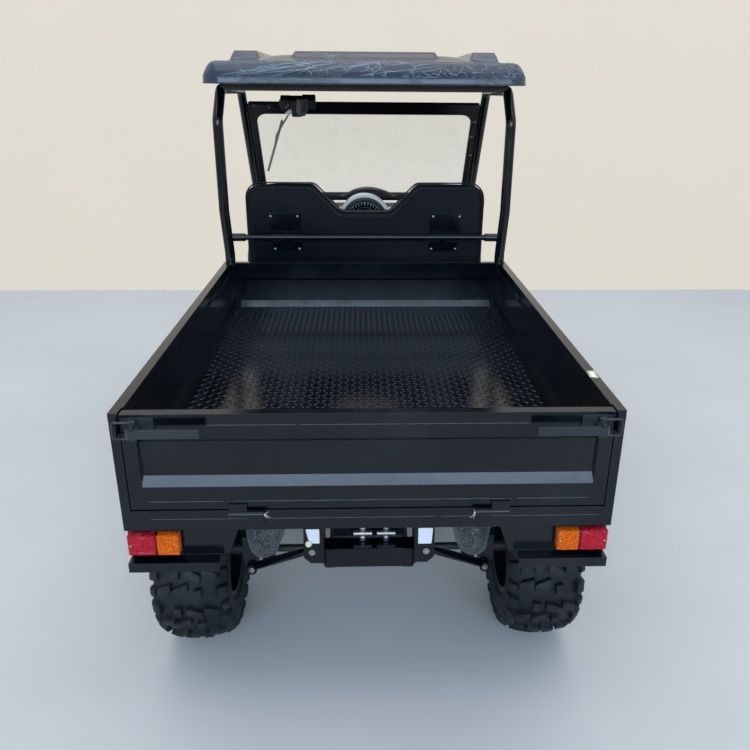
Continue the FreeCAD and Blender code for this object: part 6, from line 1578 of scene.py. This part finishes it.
gauge = {"z": 1.059, "face": 1.0186, "radius": 0.1185, "liner": 0.1198, "bezel": 0.1375, "mouth": 0.9757, "cut": 1.0196,
         "steps": 48,
         "glass": [(1.0, 0.0012), (1.0, 0.0), (0.93, -0.002), (0.90, -0.0008)],  # share of the radius, place along Y
         "rings": [(0.955, 0.0034, 0.003), (0.62, 0.0022, 0.0022)],  # share of the radius, thickness, way out
         # rim round the recess: edge, way from it, way along Y from the mouth
         "rim": [("liner", -0.001, 0.004), ("liner", -0.001, -0.0017), ("bezel", -0.002, -0.0017),
                 ("bezel", 0.0, -0.0007)],
         "needle": (0.030, 0.052), "needleOut": 0.004, "needleBar": [0.0022, 0.0008],
         "hub": [(-0.001, 0.011), (0.006, 0.010), (0.007, 0.007)]}


def makeGauge():
    z, radius, y = gauge["z"], gauge["radius"], gauge["face"]
    liner, bezel, mouth, steps = (gauge[name] for name in ("liner", "bezel", "mouth", "steps"))

    def arc(reach):  # the part of a circle above the pod's cut
        start = math.asin((gauge["cut"] - z) / reach)
        return [start + (math.pi - 2 * start) * i / steps for i in range(steps + 1)]

    def at(reach, a, level):
        return reach * math.cos(a), level, z + reach * math.sin(a)

    sweep = arc(radius)
    shape = bmesh.new()
    outline = [(radius * math.cos(a), z + radius * math.sin(a)) for a in sweep]
    loft(shape, [[(x * share, y + out, z + (up - z) * share) for x, up in outline] for share, out in gauge["glass"]])
    shaped("gaugeFace", shape, "trim_black", "root", "dial", 30)
    shape = bmesh.new()  # dark wall of the recess
    wall = [(liner, mouth), (liner, y), (radius, y), (radius, mouth)]
    loft(shape, [[at(r, a, level) for r, level in wall] for a in sweep])
    shaped("gaugeLiner", shape, "trim_black", "root", smooth=60)
    rim = [(gauge[edge] + more, mouth + along) for edge, more, along in gauge["rim"]]
    shape = bmesh.new()
    loft(shape, [[at(r, a, level) for r, level in rim] for a in arc(bezel)])
    shaped("gaugeBezel", shape, "trim_black", "root", smooth=50)
    shape = bmesh.new()
    for share, thick, out in gauge["rings"]:
        bar(shape, [at(radius * share, a, y - out) for a in sweep], thick, 8)
    (across, up), level = gauge["needle"], y - gauge["needleOut"]
    bar(shape, [(0.0, level, z), (across, level, z + up)], gauge["needleBar"], 8)
    turned(shape, (0, y - 0.0005, z), (0, -1, 0), gauge["hub"], 20)
    shaped("gaugeTrim", shape, "stud_zinc", "root", "dark_tape", 40)


makeGauge()

# Thin folds of the film on the roof's rear face and top; their pale finish is a painted highlight along each fold
filmFolds = {"seed": 7, "high": 0.0005, "wide": 0.0009, "top": 1.9456, "edge": 0.0016, "keepIn": 0.0012, "feel": 0.004,
             "long": {"count": 20, "startX": -0.66, "step": 0.036, "spread": 0.02, "rise": 0.0016,
                      "length": (0.22, 0.48), "climb": (0.022, 0.075), "wave": 0.012, "bow": (1.1, 1.3)},
             "short": {"count": 80, "x": (-0.64, 0.66), "rightX": (0.05, 0.66), "deep": 0.055, "turn": (-0.5, 0.9),
                       "length": (0.03, 0.12), "bend": (-1.6, 1.6), "slant": 0.35},
             "over": {"count": 26, "x": (-0.62, 0.62), "rear": 0.1, "front": 0.05, "turn": (0, 6.28),
                      "length": (0.08, 0.32), "bend": (-1.2, 1.2)},
             "ends": {"count": 12, "y": (0.01, 0.10), "drift": (0.0, 0.03), "endIn": 0.012, "run": 0.05}}


# A path that starts at a place and bends as it goes
def bent(x, y, turn, long, bend, steps, slant=1.0):
    return [(x + long * t * math.cos(turn + bend * t), y + long * slant * t * math.sin(turn + bend * t))
            for t in (i / steps for i in range(steps + 1))]


def foldPaths(source, halfX, halfY):
    paths = []
    rear = -halfY + filmFolds["edge"]
    long, short, over, ends = (filmFolds[kind] for kind in ("long", "short", "over", "ends"))
    for k in range(long["count"]):  # long folds rising from the left towards the middle
        x = long["startX"] + long["step"] * k + source.uniform(-long["spread"], long["spread"])
        y = rear + long["rise"] * k * source.random()
        length, climb = source.uniform(*long["length"]), source.uniform(*long["climb"])
        paths.append([(x + length * t + long["wave"] * math.sin(3 * t + k),
                       y + climb * t ** source.uniform(*long["bow"])) for t in (i / 10 for i in range(11))])
    for k in range(short["count"]):  # short crossing folds, more of them to the right
        x = source.uniform(*short["x"] if k % 3 else short["rightX"])
        y = rear + short["deep"] * source.random() ** 1.6
        turn, length, bend = (source.uniform(*short[name]) for name in ("turn", "length", "bend"))
        paths.append(bent(x, y, turn, length, bend, 6, short["slant"]))
    for k in range(over["count"]):  # folds over the top
        x, y = source.uniform(*over["x"]), source.uniform(-halfY + over["rear"], halfY - over["front"])
        turn, length, bend = (source.uniform(*over[name]) for name in ("turn", "length", "bend"))
        paths.append(bent(x, y, turn, length, bend, 9))
    for k in range(ends["count"]):  # bright folds at the two ends
        side = 1 if k % 2 else -1
        y = -halfY + source.uniform(*ends["y"])
        paths.append([(side * (halfX - ends["endIn"] - ends["run"] * t), y + source.uniform(*ends["drift"]) * t)
                      for t in (0, 0.3, 0.6, 1)])
    return paths


# A fold lies on the roof along a path, pointed at both ends
def foldRings(path, height, middle):
    feel, tall = filmFolds["feel"], filmFolds["high"]
    spots = [(middle.x + x, middle.y + y, min(filmFolds["top"] - tall, height(x, y) + tall * 0.2)) for x, y in path]
    line = smoothLine(spots, 4)
    count = len(line)
    rings = []
    for i, spot in enumerate(line):
        ahead = (line[min(i + 1, count - 1)] - line[max(i - 1, 0)]).normalized()
        x, y = spot.x - middle.x, spot.y - middle.y
        up = Vector((height(x - feel, y) - height(x + feel, y), height(x, y - feel) - height(x, y + feel), feel * 2))
        up.normalize()
        across = ahead.cross(up).normalized()
        share = math.sin(math.pi * (i + 0.4) / (count - 0.2)) ** 0.6
        wide, high = filmFolds["wide"] * share, tall * share
        rings.append([spot + across * wide, spot + up * high, spot - across * wide, spot - up * high])
    return rings


def makeFilmFolds():
    height, middle, halfX, halfY, foot = roofHeight()
    shape = bmesh.new()
    for path in foldPaths(random.Random(filmFolds["seed"]), halfX, halfY):
        inside = [(x, y) for x, y in path if edgeDistance(x, y, halfX, halfY, roof["corner"]) > filmFolds["keepIn"]]
        if len(inside) > 2:
            loft(shape, foldRings(inside, height, middle))
    for vert in shape.verts:
        vert.co.z = min(vert.co.z, filmFolds["top"])
    # the pale fold finish paints the highlight each fold catches
    shaped("roofFilmFolds", shape, "roof_plastic", "root", "fold", 70)


makeFilmFolds()
print("cab parts")

# Wheels
wheelTrim = {"discIn": 0.025, "nuts": 4, "nutRing": 0.053, "nut": (0.0080, 0.018), "nutIn": 0.010, "cap": 0.031,
             "capOut": 0.012, "valveRing": 0.122,
             # way out, way back from the ring, radius
             "valve": [(-0.008, 0.0, 0.0055), (0.006, 0.001, 0.0042), (0.020, 0.004, 0.0034)],
             "capTurn": [(-0.002, 0.0), (0.002, 0.0), (0.0055, 0.004), (0.007, 0.012), (0.0062, 0.016)]}


def makeWheelTrim(suffix):
    low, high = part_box("rim_" + suffix)
    side = 1 if low.x > 0 else -1
    y, z = (low.y + high.y) / 2, (low.z + high.z) / 2
    face = max(abs(low.x), abs(high.x)) - wheelTrim["discIn"]
    body = "wheel_" + suffix
    ring, cap, valve = wheelTrim["nutRing"], wheelTrim["cap"], wheelTrim["valveRing"]
    turns = [2 * math.pi * (i + 0.5) / wheelTrim["nuts"] for i in range(wheelTrim["nuts"])]
    spots = [((side * (face - wheelTrim["nutIn"]), y + ring * math.cos(a), z + ring * math.sin(a)), (side, 0, 0))
             for a in turns]
    repeatOnSpots("wheelNuts_" + suffix, hexBolt(*wheelTrim["nut"]), spots, "stud_zinc", body)
    shape = bmesh.new()
    turned(shape, (side * (face + wheelTrim["capOut"]), y, z), (side, 0, 0),
           [(along, cap - less) for along, less in wheelTrim["capTurn"]], 36)
    bar(shape, [(side * (face + out), y + valve - back, z) for out, back, radius in wheelTrim["valve"]],
        [radius for out, back, radius in wheelTrim["valve"]], 14)
    shaped("wheelCap_" + suffix, shape, "trim_black", body, smooth=40)


for wheel in wheels:
    makeWheelTrim(wheel)
print("wheel trim")

headlight = {
    "glassRadius": 0.057, "bulb": 0.010,
    # bezel: share of the depth, way in from the outer radius
    "bezel": [(0.0, 0.0), (0.65, 0.0), (0.93, 0.0025), (1.0, 0.006)],
    "bezelBack": [(0.97, 0.002), (0.75, 0.0005), (0.0, 0.0005)],  # share of the depth, way out from the glass
    # bowl and lens: place along, share of the glass's radius, way in
    "bowl": [(0.0004, 1, 0.0), (0.0085, 1, 0.0), (0.0080, 1, 0.003), (0.0045, 0.72, 0.0), (0.0018, 0.42, 0.0)],
    "lens": [(0.0092, 1, 0.0005), (0.0110, 1, 0.003), (0.0126, 0.75, 0.0), (0.0134, 0.4, 0.0), (0.0137, 0.1, 0.0)],
    # bulb: place along, share of its radius, way out
    "bulbTurn": [(0.0010, 1, 0.004), (0.0012, 1, 0.0), (0.0064, 1, 0.0), (0.0076, 0.6, 0.0)],
}


def makeHeadlights():
    low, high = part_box("headlights")
    radius = (high.z - low.z) / 2
    deep = high.y - low.y
    glass, bulb = headlight["glassRadius"], headlight["bulb"]
    bezel = [(deep * share, radius - less) for share, less in headlight["bezel"]]
    bezel += [(deep * share, glass + more) for share, more in headlight["bezelBack"]]
    bowl, lens = ([(along, glass * share - less) for along, share, less in headlight[name]]
                  for name in ("bowl", "lens"))
    bowl += [(along, bulb * share + more) for along, share, more in headlight["bulbTurn"]]
    for name, spots, make, slot, finish in (("headlightBezels", bezel, hoop, "trim_black", None),
                                            ("headlightBowls", bowl, turned, "stud_zinc", "reflector"),
                                            ("headlightLenses", lens, turned, "lamp_clear", None)):
        shape = bmesh.new()
        for side in (-1, 1):
            make(shape, (side * (high.x - radius), low.y, (low.z + high.z) / 2), (0, 1, 0), spots, 48)
        piece = shaped(name, shape, slot, "root", finish, 40)
        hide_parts("headlights")


makeHeadlights()

grille = {"rim": 0.016, "back": 0.002, "out": 0.0045, "corner": 0.010, "fins": 19, "fin": 0.0014, "finHigh": 0.008,
          # inset, share of the rim's way out; none is the back edge
          "rings": [(0.0, None), (0.001, 0.7), (0.004, 1.0), (0.012, 1.0), (0.016, 0.6), (0.016, None)]}


def makeGrille():
    low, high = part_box("grille")
    rings = []
    for inset, share in grille["rings"]:
        y = high.y - grille["back"] if share is None else high.y + grille["out"] * share
        outline = roundedBox((low.x + inset, low.z + inset), (high.x - inset, high.z - inset), grille["corner"], 5)
        rings.append(standing(outline, y))
    shape = bmesh.new()
    loft(shape, rings, loop=True)
    shaped("grilleRim", shape, "trim_black", "root", smooth=40)
    tall = (high.z - low.z) / 2 - grille["rim"]

    def fin(shape):
        block(shape, (-grille["fin"], -tall, 0.0), (grille["fin"], tall, grille["finHigh"]), 0.0006, 1)

    step = (high.x - low.x - grille["rim"] * 4) / (grille["fins"] - 1)
    spots = [((low.x + grille["rim"] * 2 + step * i, low.y + 0.001, (low.z + high.z) / 2), (0, 1, 0))
             for i in range(grille["fins"])]
    repeatOnSpots("grilleFins", fin, spots, "trim_black", "root")


makeGrille()

# Hood: places are across, down the slope and out of it
hood = {"top": (1.315, 1.125), "foot": (1.556, 0.880), "ribX": 0.43, "rib": 0.017, "rise": 0.005, "ribEnds": 0.030,
        "louvres": 7, "louvreX": 0.155, "louvre": (0.095, 0.0065, 0.006), "pitch": 0.024, "firstLouvre": 0.075,
        "strip": (0.004, 0.0035, 0.0022),  # way in, half height, way out
        "catchX": 0.520,
        # half width, foot, top and way out of each part of a catch
        "catch": [(0.013, -0.034, 0.034, 0.007), (0.019, -0.050, -0.032, 0.010), (0.019, 0.022, 0.037, 0.011)]}


def hoodWay():
    way = Vector((0, hood["foot"][0] - hood["top"][0], hood["foot"][1] - hood["top"][1]))
    long = way.length
    way.normalize()
    return way, Vector((0, -way.z, way.y)), long


def makeHoodTrim():
    way, out, long = hoodWay()
    top = Vector((0, *hood["top"]))
    ends = hood["ribEnds"]
    shape = bmesh.new()
    for side in (-1, 1):
        x = side * hood["ribX"]
        block(shape, (x - hood["rib"], ends, -0.003), (x + hood["rib"], long - ends, hood["rise"]), 0.0045, 3)
    for vert in shape.verts:
        vert.co = top + Vector((vert.co.x, 0, 0)) + way * vert.co.y + out * vert.co.z
    shaped("hoodRibs", shape, "body_white", "root")

    def louvre(shape):
        wide, half, rise = hood["louvre"]
        block(shape, (-wide, -half, -0.001), (wide, half, rise), 0.0028, 2)

    spots = []
    for side in (-1, 1):
        for i in range(hood["louvres"]):
            spot = top + way * (hood["firstLouvre"] + hood["pitch"] * i)
            spots.append(((side * hood["louvreX"], spot.y, spot.z), tuple(out)))
    repeatOnSpots("hoodLouvres", louvre, spots, "trim_black", "root")
    low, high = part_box("hood")
    shape = bmesh.new()  # rubber strip in the seam, and the two catches on it
    inset, half, front = hood["strip"]
    block(shape, (low.x + inset, high.y - inset, low.z - half), (high.x - inset, high.y + front, low.z + half), 0.0016)
    for side in (-1, 1):
        x = side * hood["catchX"]
        for wide, foot, top, out in hood["catch"]:
            block(shape, (x - wide, high.y, low.z + foot), (x + wide, high.y + out, low.z + top), 0.003)
    shaped("hoodCatches", shape, "pedal_rubber", "root", smooth=35)


makeHoodTrim()

fender = {"axle": (1.135, 0.292), "edge": 0.378, "x": 0.6835, "lip": 0.0055, "lipArc": (4, 172), "lipSteps": 48,
          "out": 0.384, "screwX": 0.664, "screws": 8, "screwArc": (18, 144), "screw": (0.0060, 0.0034),
          "cowlPlaces": [(0.785, 0.900), (0.785, 0.640), (1.020, 0.900), (1.225, 0.900)]}


def makeFenderTrim():
    y, z = fender["axle"]

    def onArc(x, radius, arc, i, steps):
        a = math.radians(arc[0] + arc[1] * i / steps)
        return (x, y + radius * math.cos(a), z + radius * math.sin(a)), (0, math.cos(a), math.sin(a))

    shape = bmesh.new()
    spots = []
    steps, last = fender["lipSteps"], fender["screws"] - 1
    for side in (-1, 1):
        bar(shape, [onArc(side * fender["x"], fender["edge"], fender["lipArc"], i, steps)[0] for i in range(steps + 1)],
            fender["lip"], 10)
        spots += [onArc(side * fender["screwX"], fender["out"], fender["screwArc"], i, last) for i in range(last + 1)]
    shaped("fenderLips", shape, "trim_black", "root", smooth=60)
    screw = roundScrew(*fender["screw"])
    repeatOnSpots("fenderScrews", screw, spots, "stud_zinc", "root")
    low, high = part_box("cowl_panels")
    spots = [((side * high.x, y, z), (side, 0, 0)) for side in (-1, 1) for y, z in fender["cowlPlaces"]]
    repeatOnSpots("cowlScrews", screw, spots, "stud_zinc", "root")


makeFenderTrim()

spring = {"turns": 8, "steps": 18, "radius": 0.0150, "wire": 0.0026, "start": 0.55, "end": 0.90, "y": 1.135,
          "footX": 0.372, "footUp": 0.024, "topSlice": 0.012}


# Coils round the front shocks, between foot and top of the CAD solid
def makeSprings():
    points = [vert.co for vert in nodes["front_shocks"].data.vertices if vert.co.x > 0]
    topZ = max(p.z for p in points)
    rim = [p for p in points if p.z > topZ - spring["topSlice"]]
    topX = sum(p.x for p in rim) / len(rim)
    footZ = min(p.z for p in points) + spring["footUp"]
    steps = spring["turns"] * spring["steps"]
    shape = bmesh.new()
    for side in (-1, 1):
        a, b = Vector((side * spring["footX"], spring["y"], footZ)), Vector((side * topX, spring["y"], topZ))
        axis, across, along = crossWays(b - a)
        path = []
        for i in range(steps + 1):
            angle = 2 * math.pi * spring["turns"] * i / steps
            t = spring["start"] + (spring["end"] - spring["start"]) * i / steps
            path.append(a.lerp(b, t) + (across * math.cos(angle) + along * math.sin(angle)) * spring["radius"])
        bar(shape, path, spring["wire"], 8)
    shaped("frontSprings", shape, "shock_steel", "root", smooth=60)


makeSprings()

cabTrim = {
    "wheelHub": (-0.330, 0.815, 1.010), "wheelAxis": (0, -0.8192, 0.5735),
    "cap": [(0.002, 0.038), (0.014, 0.038), (0.019, 0.034), (0.021, 0.022), (0.0205, 0.018)],
    "mat": (0.143, 0.004, 0.003), "matX": 0.165, "matY": (0.68, 0.98), "matRibs": 13, "floor": 0.345,
    "dash": (0.9968, 0.985), "dashLean": -0.05, "switchX": 0.210, "switchPitch": 0.040, "switches": 4,
    "switch": [((-0.0135, -0.0195, -0.001), (0.0135, 0.0195, 0.0025), 0.0012),
               ((-0.0100, -0.0160, 0.0), (0.0100, 0.0, 0.0065), 0.0016),
               ((-0.0100, 0.0, 0.0), (0.0100, 0.0160, 0.0045), 0.0016)],
}


def makeCabTrim():
    shape = bmesh.new()
    turned(shape, cabTrim["wheelHub"], cabTrim["wheelAxis"], cabTrim["cap"], 36)
    shaped("steeringCap", shape, "trim_black", "steering_wheel", smooth=40)

    def rib(shape):
        wide, half, rise = cabTrim["mat"]
        block(shape, (-wide, -half, -0.001), (wide, half, rise), 0.0012, 1)

    start, end = cabTrim["matY"]
    last = cabTrim["matRibs"] - 1
    spots = [((side * cabTrim["matX"], start + (end - start) * i / last, cabTrim["floor"]), (0, 0, 1))
             for i in range(last + 1) for side in (-1, 1)]
    repeatOnSpots("floorRibs", rib, spots, "pedal_rubber", "root")
    y, z = cabTrim["dash"]
    spots = [((cabTrim["switchX"] + cabTrim["switchPitch"] * i, y, z), (0, -1, cabTrim["dashLean"]))
             for i in range(cabTrim["switches"])]
    repeatOnSpots("dashSwitches", lambda shape: blocks(shape, cabTrim["switch"]), spots, "trim_black", "root")


makeCabTrim()
print("front and cab trim")
